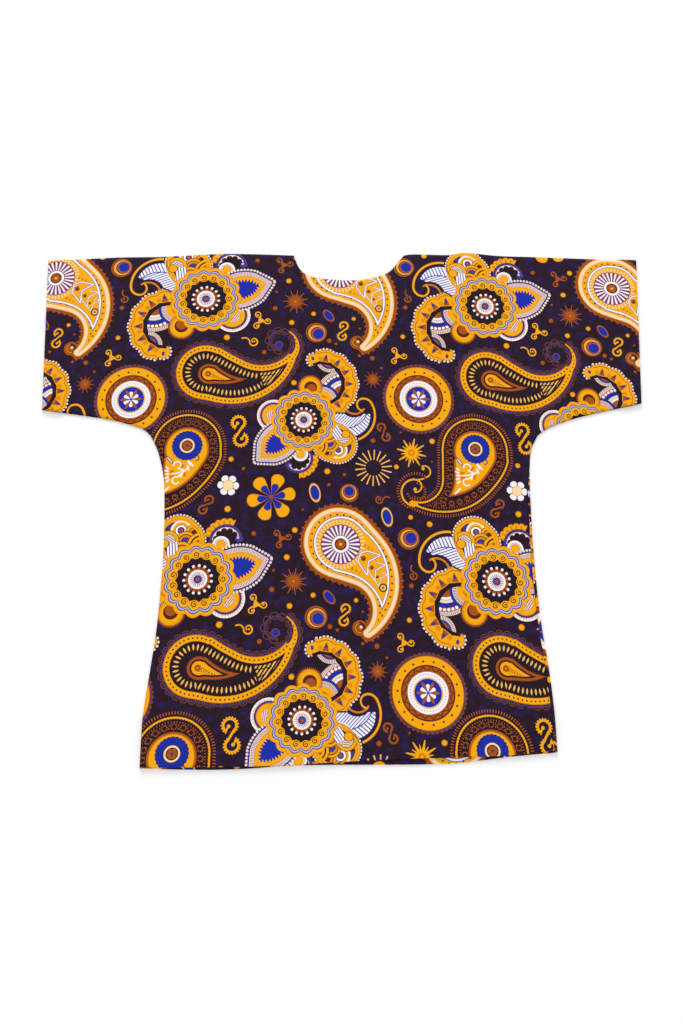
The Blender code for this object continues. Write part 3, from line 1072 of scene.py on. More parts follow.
def draw_ovals(pen):
    """Ovals with a blue core, some with a rust rim."""
    spot, second = pen.gather(OVALS, 24.0)
    x, y = spot.split()
    away = pen.spot(x * (1 / 15.8), y * (1 / 8.9)).far()
    pen.discs(away, ((1.0, "orange"), (0.94, "honey")))
    pen.paint((away < 1.0) & second, "rust")
    pen.discs(away, ((0.76, "violet"), (0.70, "cobalt")))


def draw_scrolls(pen):
    """Toothed scrolls, each two curls that join into an S."""
    spot, second = pen.gather(SCROLLS, 34.0)
    half = pen.choose(spot.along(90.0) < 0.0, spot.turned(180.0), spot).seen_from(-2.0, 14.0)
    bearing = half.turned(95.0).bearing()
    curl = (half.far() > 7.6) & (half.far() - bumps(bearing, 17.0) * 2.8 < 10.2)
    curl = (curl & (abs(bearing) < math.radians(151.0))) | (half.far(-1.6, -1.2) < 2.7)
    curl = curl | stroke(half, ((-5.6, -7.6), (-3.0, -3.6)), 2.6)
    curl = curl | stroke(half, ((6.4, -6.6), (2.0, -14.0)), 3.6)
    pen.paint(curl, "yellow")
    pen.paint(curl & second, "rust")


def draw_triskelions(pen):
    """Three hooks about a small triangle."""
    spot, second = pen.gather(TRISKELIONS, 22.0)
    far, bearing = spot.far(), spot.bearing()
    turn = sector(bearing, 3, 118.0)
    seen = pen.spot(turn.cosine() * far, (turn - math.pi / 2).cosine() * far)
    hook = (sector(bearing, 3, 178.0).cosine() * far < 3.7) & (far < 8.0)
    hook = hook | arc(seen, 11.0, 0.0, 4.0, -125.0, 165.0, 1.8) | (seen.far(10.2, 1.0) < 1.7)
    hook = hook | stroke(seen, ((3.4, -0.6), (8.7, -3.4)), 2.2)
    pen.paint(hook, "yellow")
    pen.paint(hook & second, "rust")


def draw_squiggles(pen):
    """A curl with a waving tail."""
    spot, second = pen.gather(SQUIGGLES, 30.0)
    x, y = spot.split()
    spot = pen.spot(pen.pick(second, 0.0 - x, x), y)
    line = arc(spot, 0.8, -1.4, 6.2, -175.0, 80.0, 2.5) | arc(spot, 1.6, 1.0, 3.7, 75.0, 235.0, 1.8)
    line = line | arc(spot, -13.6, -2.2, 8.2, 5.0, 124.0, 2.3) | (spot.far(2.0, -0.6) < 1.6)
    pen.paint(line, "yellow")
    pen.paint(line & second, "rust")


def draw_cream_drop(pen):
    """The cream and yellow paisley with a daisy in its head."""
    spot = pen.local(CREAM_DROPS[0])
    drop = Drop(spot, Ring(0, 0, 54), Ring(10.5, -103, 41), Ring(-9.5, -58.5, 101.5), 1, -43, 3.0, 20.0)
    end = (43.1, -136.8)
    before_end = (0.0 - spot.along(-136.0, *end)).most(spot.along(90.0, *end) - 16.0).most(0.0)
    drop.depth = drop.depth.least(before_end * 3.0 + 7.2 - spot.far(*end))
    depth = drop.depth
    tip = spot.far(31.0, -130.0)
    pen.paint(depth > -8.4 + drop.scallops(-4.0, 9.6) * 3.0, "rust")
    pen.paint(drop.dots(-2.6, 3.2, 0.8), "umber")
    pen.paint(drop.dots(-5.4, 4.8, 1.0, 2.4), "umber")
    pen.discs(tip, ((11.6, "rust"), (8.6, "umber")))
    pen.paint(arc(spot, 31.0, -130.0, 6.8, 100.0, 290.0, 2.4), "amber")
    pen.paint(tip < 4.6, "rust")
    pen.steps(depth, ((-1.1, "orange"), (0.3, "cream"), (6.0, "amber"), (6.5, "yellow")))
    pen.paint(drop.dots(10.4, 10.5, 1.5), "umber")
    pen.paint(spot.far(32.5, -128.5) < 2.2, "pink")
    inner = Drop(spot, Ring(3.5, -1.5, 43.4), Ring(-2, -116, 67.5), Ring(-14, -54, 92.5), 1, -60, 9.0, 4.0)
    pen.steps(inner.depth, ((0.0, "violet"), (1.1, "white"), (4.1, "violet"), (4.8, "yellow")))
    daisy = spot.seen_from(2.5, -3.0)
    far, bearing = daisy.far(), daisy.bearing()
    pen.paint(rays(bearing, far, 40, 31.0, 37.6, 1.7), "cream")
    pen.paint(beads(bearing, far, 40, 36.6, 1.5), "cream")
    pen.paint((far < 30.6) & (far > 12.0), "cobalt")
    pen.paint(petals(bearing, far, 24, 10.0, 31.6, 2.9), "rust")
    pen.paint(petals(bearing, far, 24, 10.0, 29.8, 1.6), "white")
    pen.discs(far, ((14.2, "umber"), (13.4, "white"), (9.4, "ground")))
    pen.paint(beads(bearing, far, 6, 4.9, 3.0), "rust")
    pen.paint(far < 2.5, "yellow")
    sprig = spot.seen_from(41.5, -26.5)
    for middle, radius, start, size in (
        ((61.5, -47.5), 17.4, (53.5, -40.0), 0.78), ((67.5, -59.0), 12.6, (61.0, -53.5), 0.6),
    ):
        sprig = pen.choose(spot.far(*middle) < radius, spot.seen_from(*start).shrunk(size), sprig)
    line = away_from(sprig, (
        (23.0, 7.5), (2.0, 13.5), (-7.0, 10.5), (-12.0, 1.5),
        (-10.5, -6.5), (1.5, -23.5), (4.0, -2.5), (23.0, 7.5),
    ))
    pen.discs(line, ((1.7, "violet"), (0.95, "white")))
    pen.paint(sprig.far(-4.0, 2.0) < 4.4, "rust")
    pen.paint(sprig.far(-3.6, 1.0) < 2.0, "umber")
    for across, up, size in (
        (40.0, -5.0, 3.0), (46.0, -8.0, 2.5), (51.0, -10.5, 2.0),
        (20.5, -40.5, 3.0), (26.5, -43.5, 2.5), (31.5, -46.5, 2.0),
    ):
        pen.paint(blot(spot, across, up, size, size * 0.62, 60.0), "amber")
    pen.discs(spot.far(67.5, -69.0), ((6.6, "umber"), (4.5, "honey"), (1.6, "umber")))


def draw_lace_drop(pen):
    """The dark paisley with a yellow band, ringed with small loops."""
    spot = pen.local(LACE_DROPS[0])
    drop = Drop(spot, Ring(0, 0, 45), Ring(90, 67, 57), Ring(44, 50, 104), -1, 11)
    depth = drop.depth
    curl = spot.seen_from(118.5, 53.0)
    outside, inside = spot.seen_from(118.0, 42.0), spot.seen_from(118.5, 47.5)
    far, turn = outside.far(), outside.bearing()
    rising = turn.between(-0.66, 1.05)
    body = (spot.along(0.0) < 124.0) | (spot.along(90.0) < 19.0)
    ring, within = curl.bearing(), inside.bearing()
    rows = (
        (drop.cell(-2.9, 12.4), body),
        (pen.spot(sector(turn, 18, 10.0) * 35.0, 35.0 - far), rising),
        (around(within, inside.far(), 12, 22.8), within.between(-1.3, 0.78)),
        (around(ring, curl.far(), 9, 17.5, 20.0), (ring > 0.7) | (ring < -1.39)),
    )
    for loop, shown in rows:
        pen.discs(loop.far(), ((6.1, "brown"), (5.0, "ground")), shown)
        for across in (-2.4, 2.4):
            pen.paint((loop.far(across, -0.5) < 1.8) & shown, "violet")
        pen.paint((loop.far(0.0, -2.4) < 1.0) & shown, "brown")
    pen.discs(spot.far(117.6, 45.6), ((6.6, "brown"), (5.4, "violet"), (4.4, "cobalt")))
    pen.paint((far < 32.8) & (inside.far() > 25.5) & rising, "amber")
    pen.paint((far < 32.0) & (inside.far() > 26.3) & rising, "yellow")
    pen.steps(depth, ((-0.8, "amber"), (0.5, "yellow")))
    pen.paint(drop.dots(4.2, 6.6, 1.4), "umber")
    pen.paint(beads(turn, far, 27, 29.4, 1.1) & turn.between(-0.5, 0.75), "umber")
    pen.steps(depth, ((8.6, "amber"), (9.2, "ground")))
    tail = spot.along(20.0)
    across, up = drop.cell(17.9, 6.6).split()
    pen.paint((abs(across) + up * up * 0.055 < 1.45) & (tail < 78.0), "honey")
    hatched = (depth > 12.4) & (tail > 81.0) & (abs(depth - 17.4) > 0.8)
    pen.paint(stripes(spot.along(-34.0), 4.8, 2.4) & hatched, "honey")
    inner = Drop(spot, Ring(6, -3, 15.8), Ring(71, 56, 69.4), Ring(31, 60, 79.9), -1, -60)
    pen.paint(inner.depth > -1.2, "umber")
    pen.paint(inner.dots(-0.2, 2.6, 0.9), "rust")
    pen.steps(inner.depth, ((0.0, "rust"), (3.2, "ground"), (5.6, "amber"), (6.3, "yellow")))
    sprig = spot.seen_from(5.0, -3.0).turned(-23.0)
    x, y = sprig.split()
    leaf = stripes(x - abs(y) * 1.3, 4.4, 1.4)
    pen.paint(leaf & (abs(y) + x * 0.14 < 4.8) & x.between(4.0, 30.0), "umber")
    pen.paint(beads(sprig.bearing(), sprig.far(), 6, 2.9, 2.2), "rust")
    pen.paint(sprig.far() < 1.2, "yellow")


def draw_dark_drop(pen):
    """The dark paisley with a thin yellow edge, two curls and a blue flower."""
    spot = pen.local(DARK_DROPS[0])
    drop = Drop(spot, Ring(0, 0, 52.9), Ring(-93.5, -48, 39.5), Ring(-56.5, 2, 103), 1, -18, 3.0, 28.0)
    depth = drop.depth
    pen.paint(drop.ticks(-6.8, 4.2, 4.6, 1.7), "rust")
    curl = spot.seen_from(-98.0, -70.0)
    far, bearing = curl.far(), curl.bearing()
    outside = abs(curl.turned(150.0).bearing()) < 1.6
    pen.paint(rays(bearing, far, 42, 27.0, 31.5, 1.7) & outside, "rust")
    pen.paint(rays(bearing, far, 22, 12.5, 16.5, 1.7) & (curl.along(-40.0) > -9.0), "rust")
    for across, up, radius, start, end, width in (
        (-100.0, -72.0, 21.5, 90.0, 268.0, 2.9), (-99.0, -61.0, 10.0, -100.0, 92.0, 2.3),
        (-83.5, -37.5, 9.3, -82.0, 122.0, 2.3), (-99.0, -8.0, 43.0, -92.0, -70.0, 2.3),
    ):
        pen.paint(arc(spot, across, up, radius, start, end, width), "yellow")
    pen.paint((spot.far(-99.5, -66.5) < 2.9) | (spot.far(-86.0, -33.0) < 2.5), "yellow")
    pen.paint(depth > -1.4, "yellow")
    pen.paint(depth > 0.7 + drop.scallops(1.0, 4.2) * 1.1, "ground")
    pen.paint(drop.ticks(6.0, 4.2, 2.6, 1.3), "rust")
    floret = drop.cell(12.4, 13.6)
    pen.paint(beads(floret.bearing(), floret.far(), 8, 3.9, 1.05), "rust")
    pen.paint(drop.dots(10.2, 13.6, 1.0, 6.8), "rust")
    pen.paint(drop.dots(14.6, 13.6, 1.2, 6.8), "rust")
    pen.paint(blot(spot, -102.0, -90.0, 8.0, 3.0, -22.0), "yellow")
    inner = Drop(spot, Ring(0, -2, 35.3), Ring(-87, -45, 51), Ring(-55, 14, 91), 1, -60, 2.0, 8.0)
    pen.steps(inner.depth, ((-1.6, "ground"), (0.0, "rust"), (2.4, "amber"), (3.8, "yellow")))
    pen.paint(blot(spot, -26.0, -19.0, 8.0, 2.6, -52.0), "violet")
    pen.paint(blot(spot, -26.0, -19.0, 6.2, 1.3, -52.0), "cream")
    pen.paint(arc(spot, 15.5, -17.5, 4.0, -110.0, 60.0, 1.7), "violet")
    white = arc(spot, -14.0, -28.0, 5.8, -80.0, 190.0, 2.0) | arc(spot, -15.5, -52.0, 5.6, 60.0, 330.0, 2.0)
    for points, width in (
        (((-12.0, -32.5), (-4.0, -36.5)), 2.0), (((-13.0, -47.0), (4.0, -32.0)), 1.8),
        (((-22.0, -41.5), (-12.0, -40.5), (-3.0, -36.5)), 1.8),
    ):
        white = white | stroke(spot, points, width)
    for across, up, long, way in (
        (-29.5, -31.5, 3.6, -35.0), (-30.0, -36.5, 4.2, -15.0), (-29.0, -41.5, 4.0, 5.0),
        (-29.5, -47.0, 4.2, 20.0), (-28.5, -52.5, 3.8, 35.0), (-30.5, -67.0, 8.0, 46.0),
        (4.0, -24.5, 5.6, -62.0), (8.0, -27.0, 5.2, -50.0), (3.0, -33.0, 5.0, -75.0),
        (-7.0, -44.0, 4.6, 70.0), (-2.0, -40.5, 4.4, 80.0),
    ):
        white = white | blot(spot, across, up, long, 1.45, way)
    pen.paint(white, "white")
    for across, up, way in (
        (-22.5, -37.5, 10.0), (-6.0, -30.0, 50.0), (-2.0, -43.0, 80.0), (-22.0, -45.5, 10.0),
    ):
        pen.paint(blot(spot, across, up, 4.4, 2.1, way), "amber")
    flower = spot.seen_from(0.5, 3.0)
    far, bearing = flower.far(), flower.bearing()
    pen.paint(petals(bearing, far, 24, 6.0, 24.2, 3.3), "ground")
    pen.paint(petals(bearing, far, 24, 6.0, 23.6, 2.5), "cobalt")
    pen.discs(far, ((12.4, "umber"), (11.6, "cream"), (8.8, "ground")))
    pen.paint(beads(bearing, far, 6, 4.8, 2.9), "rust")
    pen.paint(far < 2.0, "violet")


def draw_crescent(pen):
    """The scalloped crescent that reaches out from behind the flower."""
    spot, _ = pen.gather(FLOWERS, FLOWER_REACH)
    seen = spot.seen_from(-58.5, -44.5).turned(180.0)
    far, bearing = seen.far(), seen.bearing()
    lobes, pearls = 360 / 27, 360 / 5.4
    end = spot.far(-66.5, -90.5)
    swell = bumps(bearing, lobes) * 3.6
    reach = bearing.between(-1.75, 1.28)
    edge = far - swell
    inside = (edge < 61.0) & (far > 41.0) & reach
    beading = beads(bearing, edge, pearls, 62.2, 2.0) & reach
    turn = spot.seen_from(-66.5, -90.5).turned(-55.0).bearing()
    beading = beading | (beads(turn, end, 13, 12.6, 2.0) & (abs(turn) < 1.8))
    pen.paint((far < 41.5) & (abs(bearing) < 1.55), "ground")
    pen.paint(beading, "pink")
    pen.paint(inside | (end < 11.4), "amber")
    pen.paint((inside & (edge < 60.0)) | (end < 10.4), "yellow")
    pen.paint(edge.between(55.7, 56.9) & reach, "rust")
    run = sector(bearing, lobes) * 50.0
    pen.paint(beads(bearing, far, lobes, 47.0, 4.0, 11.3) & reach, "orange")
    pen.paint((abs(run) + far * 0.42 < 24.0) & (far > 42.0) & reach, "rust")
    pen.paint((pen.spot(run * 1.5, far - 49.6).far() < 3.9) & bearing.between(-1.75, 1.6), "violet")
    pen.paint((far < 42.6 - swell * 0.5) & (far > 33.0) & (abs(bearing) < 1.5), "ground")
    band = spot.seen_from(-82.5, -6.5)
    left = (far < 34.2) & (band.along(90.0) < 2.0) & (spot.along(0.0, -60.0, 0.0) < 0.5)
    pen.discs(band.far(), (
        (49.5, "umber"), (48.6, "pink"), (42.8, "rust"), (36.4, "umber"), (35.6, "cobalt"), (29.8, "brown"),
        (29.2, "pink"), (24.8, "brown"), (24.2, "white"), (20.4, "rust"),
    ), left)
    pen.paint(beads(band.bearing(), band.far(), 37, 39.2, 2.5, 4.5) & left, "white")
    hatch(pen, band, 96, 46.0, 43.6, 48.2, left)
    low = spot.seen_from(-92.5, -78.5)
    clip = (far < 36.4) & (low.along(0.0) > 1.5)
    pen.discs(low.far(), (
        (25.0, "umber"), (24.2, "pink"), (18.2, "ground"), (17.2, "violet"), (14.2, "rust"),
    ), clip)
    hatch(pen, low, 50, 21.0, 18.6, 23.6, clip)
    high = spot.seen_from(-44.5, -15.5)
    clip = far < 34.6
    pen.discs(high.far(), (
        (31.0, "umber"), (30.2, "cobalt"), (27.0, "umber"), (26.2, "pink"),
        (18.8, "orange"), (17.8, "yellow"),
    ), clip)
    hatch(pen, high, 60, 22.0, 19.6, 25.4, clip)
    pen.paint((high.far() < 10.4) & clip, "amber")


def draw_leaf(pen):
    """The veined leaf and the yellow stem that curls round it."""
    spot, _ = pen.gather(FLOWERS, FLOWER_REACH)
    upper, lower = spot.far(-74.2, 29.9), spot.far(-91.5, 14.5)
    base = spot.along(63.4)
    bends = (
        (-73.5, 27.5, 47.4, 84.0, 184.0), (-105.5, 26.5, 15.2, 182.0, 270.0),
        (-106.5, 22.5, 11.2, -92.0, 62.0),
    )
    for bend, width in zip(bends, (4.2, 4.0, 3.4)):
        pen.paint(arc(spot, *bend, width), "amber")
    pen.paint(arc(spot, -93.5, 13.5, 19.4, 12.0, 126.0, 3.2), "amber")
    for bend, width in zip(bends, (3.0, 2.8, 2.4)):
        pen.paint(arc(spot, *bend, width), "yellow")
    pen.paint((upper < 39.6) & (lower > 22.0) & (base > -13.0) & (spot.along(0.0) < -40.0), "navy")
    leaf = (upper < 37.2) & (lower > 24.2) & (base > -10.4)
    pen.paint(leaf, "white")
    rib = spot.far(-75.5, 5.5)
    above, below = rib > 45.3, rib < 45.3
    high = abs(spot.along(22.0).repeated(5.4))
    low = abs(spot.along(109.0).repeated(4.2))
    pen.paint(leaf & (((high < 1.1) & above) | ((low < 0.9) & below)), "lavender")
    veins = ((high < 0.6) & above) | ((low < 0.5) & below) | rib.between(44.4, 46.0)
    pen.paint(leaf & veins, "cobalt")


def draw_scales(pen):
    """The big round curl, filled with overlapping scales, and the stripes that run down from it."""
    spot, _ = pen.gather(FLOWERS, FLOWER_REACH)
    first, second = spot.seen_from(-32.0, 66.0), spot.seen_from(-27.0, 58.0)
    edge = (first.far() - 34.5).least(second.far() - 36.6)
    in_first = first.far() - 34.5 < second.far() - 36.6
    run = pen.pick(in_first, first.bearing() * 34.5, second.bearing() * 36.6)
    away = pen.spot(run.repeated(5.2), edge + 0.6)
    ringing = spot.along(110.0) > 30.0
    pen.paint((away.far() < 2.0) & ringing, "pink")
    pen.discs(edge, (
        (-1.2, "rust"), (-2.2, "yellow"), (-5.8, "amber"), (-6.8, "yellow"), (-9.4, "umber"),
    ), ringing)
    clip = (edge < -9.4) & ringing
    fans = (
        (-45.0, 82.0, ((12.0, "orange"), (8.8, "umber"), (4.6, "violet"))),
        (-28.5, 76.0, (
            (16.0, "white"), (13.0, "yellow"), (9.4, "umber"), (8.4, "white"),
            (5.4, "violet"), (2.8, "rust"),
        )),
        (-8.0, 71.0, ((14.4, "umber"), (13.4, "yellow"), (9.6, "umber"), (8.4, "orange"), (5.0, "umber"))),
        (-21.0, 58.0, (
            (16.6, "umber"), (15.6, "yellow"), (12.0, "umber"), (10.6, "orange"), (7.4, "violet"),
        )),
        (1.5, 52.0, ((20.4, "umber"), (19.4, "yellow"), (15.4, "umber"), (12.8, "yellow"), (9.0, "rust"))),
        (-26.0, 43.0, ((16.0, "umber"), (15.0, "yellow"), (11.0, "umber"), (9.4, "orange"))),
    )
    for across, up, rings in fans:
        pen.discs(spot.far(across, up), rings, clip)
    field = (spot.far(-30.5, 53.0) < 30.0) & spot.along(0.0).between(-49.5, -31.5)
    field = field & spot.along(90.0).between(34.0, 66.0)
    pen.paint(field, "white")
    pen.paint(field & stripes(spot.along(6.0), 4.4, 1.4), "violet")
    bow = spot.seen_from(-47.5, 60.0)
    over, upper = bow.far(), bow.along(90.0) > -2.0
    pen.discs(over, ((17.0, "umber"), (16.0, "yellow"), (11.4, "umber"), (10.4, "pink")), upper)
    pen.paint((over < 9.6) & upper & stripes(bow.along(55.0), 3.2, 1.2), "brown")
    for width, ink in ((5.4, "umber"), (4.0, "yellow")):
        pen.paint(arc(spot, -42.0, 66.0, 19.0, 165.0, 215.0, width), ink)
    pen.discs(spot.far(-53.5, 56.5), ((7.6, "umber"), (6.6, "yellow")))


def draw_curls(pen):
    """The blue curl with its yellow fan, and the little striped dome under it."""
    spot, _ = pen.gather(FLOWERS, FLOWER_REACH)
    seen = spot.seen_from(40.5, 57.5)
    far, bearing = seen.far(), seen.turned(90.0).bearing()
    lobes, bays = 360 / 16.6, 360 / 32
    span = abs(bearing - 0.45) < math.radians(50.0)
    for reach, size, rim, ink in ((30.6, 5.2, 31.0, "amber"), (30.4, 4.4, 30.4, "yellow")):
        pen.paint((beads(bearing, far, lobes, reach, size, 7.0) | far.between(25.0, rim)) & span, ink)
    pen.paint(leaves(bearing, far, lobes, 25.0, 33.4, 3.0, 7.0) & span, "amber")
    lace = abs(bearing - 0.10) < math.radians(80.0)
    pen.paint(beads(bearing, far, bays, 18.4, 5.4, 12.0) & lace, "white")
    pen.paint(beads(bearing, far, bays, 16.4, 4.5, 12.0) & lace, "rust")
    middle = beads(bearing, far, bays, 15.0, 4.6, 12.0) | (far < 14.6)
    pen.paint(middle & (spot.along(90.0) > 50.0), "ground")
    arch = abs(bearing - 0.03) < math.radians(92.0)
    pen.paint(arch & far.between(21.4, 26.2), "umber")
    pen.paint(arch & far.between(22.0, 25.6), "violet")
    pen.paint(spot.far(60.0, 60.5) < 5.4, "violet")
    pen.paint(spot.far(58.6, 62.5) < 2.2, "lavender")
    pen.discs(spot.far(33.0, 52.0), (
        (14.0, "umber"), (13.2, "white"), (9.6, "brown"), (9.0, "pink"), (7.4, "amber"), (6.4, "yellow"),
    ), spot.along(90.0) > 46.0)


def draw_petals(pen):
    """The pointed petal, the round petal below it and the half daisy."""
    spot, _ = pen.gather(FLOWERS, FLOWER_REACH)
    daisy = spot.seen_from(-38.0, -48.5)
    far, bearing = daisy.far(), daisy.bearing()
    pen.paint(rays(bearing, far, 40, 12.0, 22.0, 1.9), "rust")
    pen.discs(far, ((19.4, "amber"), (18.2, "yellow")))
    pen.paint(rays(bearing, far, 40, 15.6, 18.6, 0.9, 4.5), "amber")
    pen.paint(spot.far(-38.0, -47.0) < 11.4, "umber")
    pen.paint(spot.far(-38.0, -44.5) < 8.6, "rust")
    petal = spot.seen_from(43.0, -30.5)
    far, bearing = petal.far(), petal.bearing()
    pen.discs(far, (
        (29.6, "umber"), (28.8, "pink"), (23.6, "umber"), (22.4, "violet"),
        (20.4, "amber"), (19.4, "yellow"), (12.6, "amber"), (11.8, "pink"),
    ))
    pen.paint(rays(bearing, far, 40, 23.8, 26.2, 1.0), "rust")
    pen.paint(beads(bearing, far, 34, 27.0, 1.8), "white")
    pen.paint((far < 11.4) & stripes(petal.along(-35.0), 3.0, 1.2), "rust")
    x, y = spot.turned(15.2).split()
    side = pen.spot(x - 57.0, abs(y) + 29.5)
    depth, run = 65.5 - side.far(), side.bearing() * 65.5
    depth = depth.least(0.0 - (x - 118.0) * 0.70 - abs(y) * 0.71)
    right = x > 20.0
    pen.paint((depth > -0.4) & right, "umber")
    pen.paint((pen.spot(run.repeated(5.4), depth - 0.6).far() < 2.1) & right, "pink")
    pen.steps(depth, ((2.8, "violet"), (5.0, "pink")), right)
    pen.paint(stripes(run, 2.8, 0.9) & depth.between(5.8, 11.6) & right, "brown")
    pen.steps(depth, ((12.0, "amber"), (13.0, "yellow")), right)
    teeth = abs(run.repeated(7.6)) * 1.5
    pen.paint((depth > 17.2 + teeth) & right, "cobalt")


def draw_rosette(pen):
    """The scalloped round flower itself."""
    spot, _ = pen.gather(FLOWERS, FLOWER_REACH)
    far, bearing = spot.far(), spot.bearing()
    swell = bumps(bearing, 15)
    pen.paint(far < 53.2 + swell * 4.6, "amber")
    pen.paint(far < 52.2 + swell * 4.8, "yellow")
    pen.discs(far - swell * 5.4, (
        (46.6, "violet"), (45.0, "lavender"), (42.5, "violet"), (41.0, "honey"), (40.1, "yellow"),
    ))
    curl = pen.spot(sector(bearing, 15) * 37.5, far - 37.6)
    pen.paint(spiral(curl, 3.5, 0.42, 5.2, 0.35), "umber")
    pen.paint(far < 34.4 - swell * 3.4, "ground")
    pen.paint(far < 19.2, "umber")
    pen.paint(rays(bearing, far, 15, 13.0, 19.4, 5.2, 14.0), "rust")
    pen.paint(beads(bearing, far, 15, 20.9, 2.1, 14.0), "white")
    pen.paint(far < 14.4, "white")
    pen.paint(rays(bearing, far, 20, 7.0, 11.4, 1.1), "brown")
    pen.discs(far, ((7.0, "pink"), (6.4, "violet"), (2.9, "rust")))


Motif = namedtuple("Motif", "name draw places circles")
Group = namedtuple("Group", "name motifs")

# The groups of motifs in the order they are printed, each motif with circles that hold it
GROUPS = (
    Group("flower", (
        Motif("Flower's crescent", draw_crescent, FLOWERS, (Ring(-75, -45, 66), Ring(-50, -60, 62))),
        Motif("Flower's leaf", draw_leaf, FLOWERS, (Ring(-75, 30, 52),)),
        Motif("Flower's scales", draw_scales, FLOWERS, (Ring(-30, 62, 42),)),
        Motif("Flower's curls", draw_curls, FLOWERS, (Ring(38, 58, 42),)),
        Motif("Flower's petals", draw_petals, FLOWERS, (Ring(70, 18, 52), Ring(43, -30, 32))),
        Motif("Flower's rosette", draw_rosette, FLOWERS, (Ring(0, 0, 59),)),
    )),
    Group("cream paisley", (
        Motif("Cream paisley", draw_cream_drop, CREAM_DROPS, (
            Ring(0, 0, 63), Ring(45, -50, 58), Ring(50, -105, 54),
        )),
    )),
    Group("lace paisley", (
        Motif("Lace paisley", draw_lace_drop, LACE_DROPS, (
            Ring(0, 0, 55), Ring(60, 0, 53), Ring(110, 20, 62),
        )),
    )),
    Group("dark paisley", (
        Motif("Dark paisley", draw_dark_drop, DARK_DROPS, (
            Ring(0, 0, 65), Ring(-40, -50, 64), Ring(-95, -65, 48),
        )),
    )),
    Group("small motifs", (
        Motif("Loose dots", draw_dots, YELLOW_DOTS + RUST_DOTS, (Ring(0, 0, 6),)),
        Motif("Stars", draw_stars, LONG_STARS + SUNBURSTS + SMALL_STARS, (Ring(0, 0, 31),)),
        Motif("Moons", draw_moons, MOONS, (Ring(0, 0, 18),)),
        Motif("Ovals", draw_ovals, OVALS, (Ring(0, 0, 17),)),
        Motif("Toothed scrolls", draw_scrolls, SCROLLS, (Ring(0, 0, 32),)),
        Motif("Triskelions", draw_triskelions, TRISKELIONS, (Ring(0, 0, 19),)),
        Motif("Squiggles", draw_squiggles, SQUIGGLES, (Ring(0, 0, 26),)),
        Motif("Medallion", draw_medallion, MEDALLIONS, (Ring(0, 0, 61),)),
        Motif("Six-petalled flower", draw_six_petals, SIX_PETALS, (Ring(0, 0, 40),)),
        Motif("White flower", draw_white_flower, WHITE_FLOWERS, (Ring(0, 0, 19),)),
    )),
)


def shows(group, across, up, slack, repeat):
    """Which of some places in the print, in millimetres, a group of motifs may reach."""
    found = np.zeros(len(across), dtype=bool)
    for motif in group.motifs:
        for place in motif.places:
            turn, size = math.radians(place.turn), place.size
            for circle in motif.circles:
                x = place.across + size * (circle.across * math.cos(turn) - circle.up * math.sin(turn))
                y = place.up + size * (circle.across * math.sin(turn) + circle.up * math.cos(turn))
                away_x = (across - x + repeat / 2) % repeat - repeat / 2
                away_y = (up - y + repeat / 2) % repeat - repeat / 2
                found |= np.hypot(away_x, away_y) < circle.radius * size + slack
    return found


def mottled_ground(tree, cloth, inks):
    """The colour of the dyed ground, in soft patches of navy."""
    mottle = tree.nodes.new("ShaderNodeTexNoise")
    mottle.inputs["Scale"].default_value = 75.0
    mottle.inputs["Detail"].default_value = 5.0
    mottle.inputs["Roughness"].default_value = 0.62
    tree.links.new(cloth.outputs["UV"], mottle.inputs["Vector"])
    depth = tree.nodes.new("ShaderNodeMapRange")
    depth.inputs["From Min"].default_value = 0.47
    depth.inputs["From Max"].default_value = 0.64
    tree.links.new(mottle.outputs["Fac"], depth.inputs["Value"])
    ground = tree.nodes.new("ShaderNodeMix")
    ground.data_type = "RGBA"
    ground.inputs[6].default_value = (*inks["ground"], 1.0)
    ground.inputs[7].default_value = (*inks["navy"], 1.0)
    tree.links.new(depth.outputs["Result"], ground.inputs[0])
    return ground.outputs[2]


def drawn(motif, repeat, inks):
    """The node group that prints a motif, made the first time that it is wanted."""
    drawing = bpy.data.node_groups.get(motif.name)
    if drawing is None:
        pen = Pen(motif.name, repeat, inks)
        motif.draw(pen)
        drawing = pen.finish()
    return drawing


def printed_cotton(context, groups):
    """Matt cotton: a mottled ground with these groups of motifs printed over it."""
    printed = " and ".join(group.name for group in groups)
    name = "Printed cotton with " + printed if printed else "Printed cotton"
    known = bpy.data.materials.get(name)
    if known:
        return known
    palette = context.scene.dashiki_colours
    inks = {ink: tuple(getattr(palette, ink)) for ink in palette.__annotations__}
    material = bpy.data.materials.new(name)
    material.use_nodes = True
    tree = material.node_tree
    tree.nodes.clear()
    cloth = tree.nodes.new("ShaderNodeUVMap")
    cloth.uv_map = "Cloth"
    place = tree.nodes.new("ShaderNodeVectorMath")
    place.operation = "SCALE"
    place.inputs["Scale"].default_value = 1 / MM
    tree.links.new(cloth.outputs["UV"], place.inputs[0])
    colour = mottled_ground(tree, cloth, inks)
    for motif in [motif for group in groups for motif in group.motifs]:
        printing = tree.nodes.new("ShaderNodeGroup")
        printing.node_tree = drawn(motif, context.scene.dashiki_print.repeat / MM, inks)
        tree.links.new(place.outputs["Vector"], printing.inputs["Place"])
        tree.links.new(colour, printing.inputs["Beneath"])
        colour = printing.outputs["Colour"]
    shader = tree.nodes.new("ShaderNodeBsdfPrincipled")
    shader.inputs["Roughness"].default_value = 0.85
    shader.inputs["Specular IOR Level"].default_value = 0.12
    tree.links.new(colour, shader.inputs["Base Color"])
    output = tree.nodes.new("ShaderNodeOutputMaterial")
    tree.links.new(shader.outputs["BSDF"], output.inputs["Surface"])
    return material


# How far the back's print lies from the front's
BACK_PRINT_SHIFT = (0.170, 0.095)

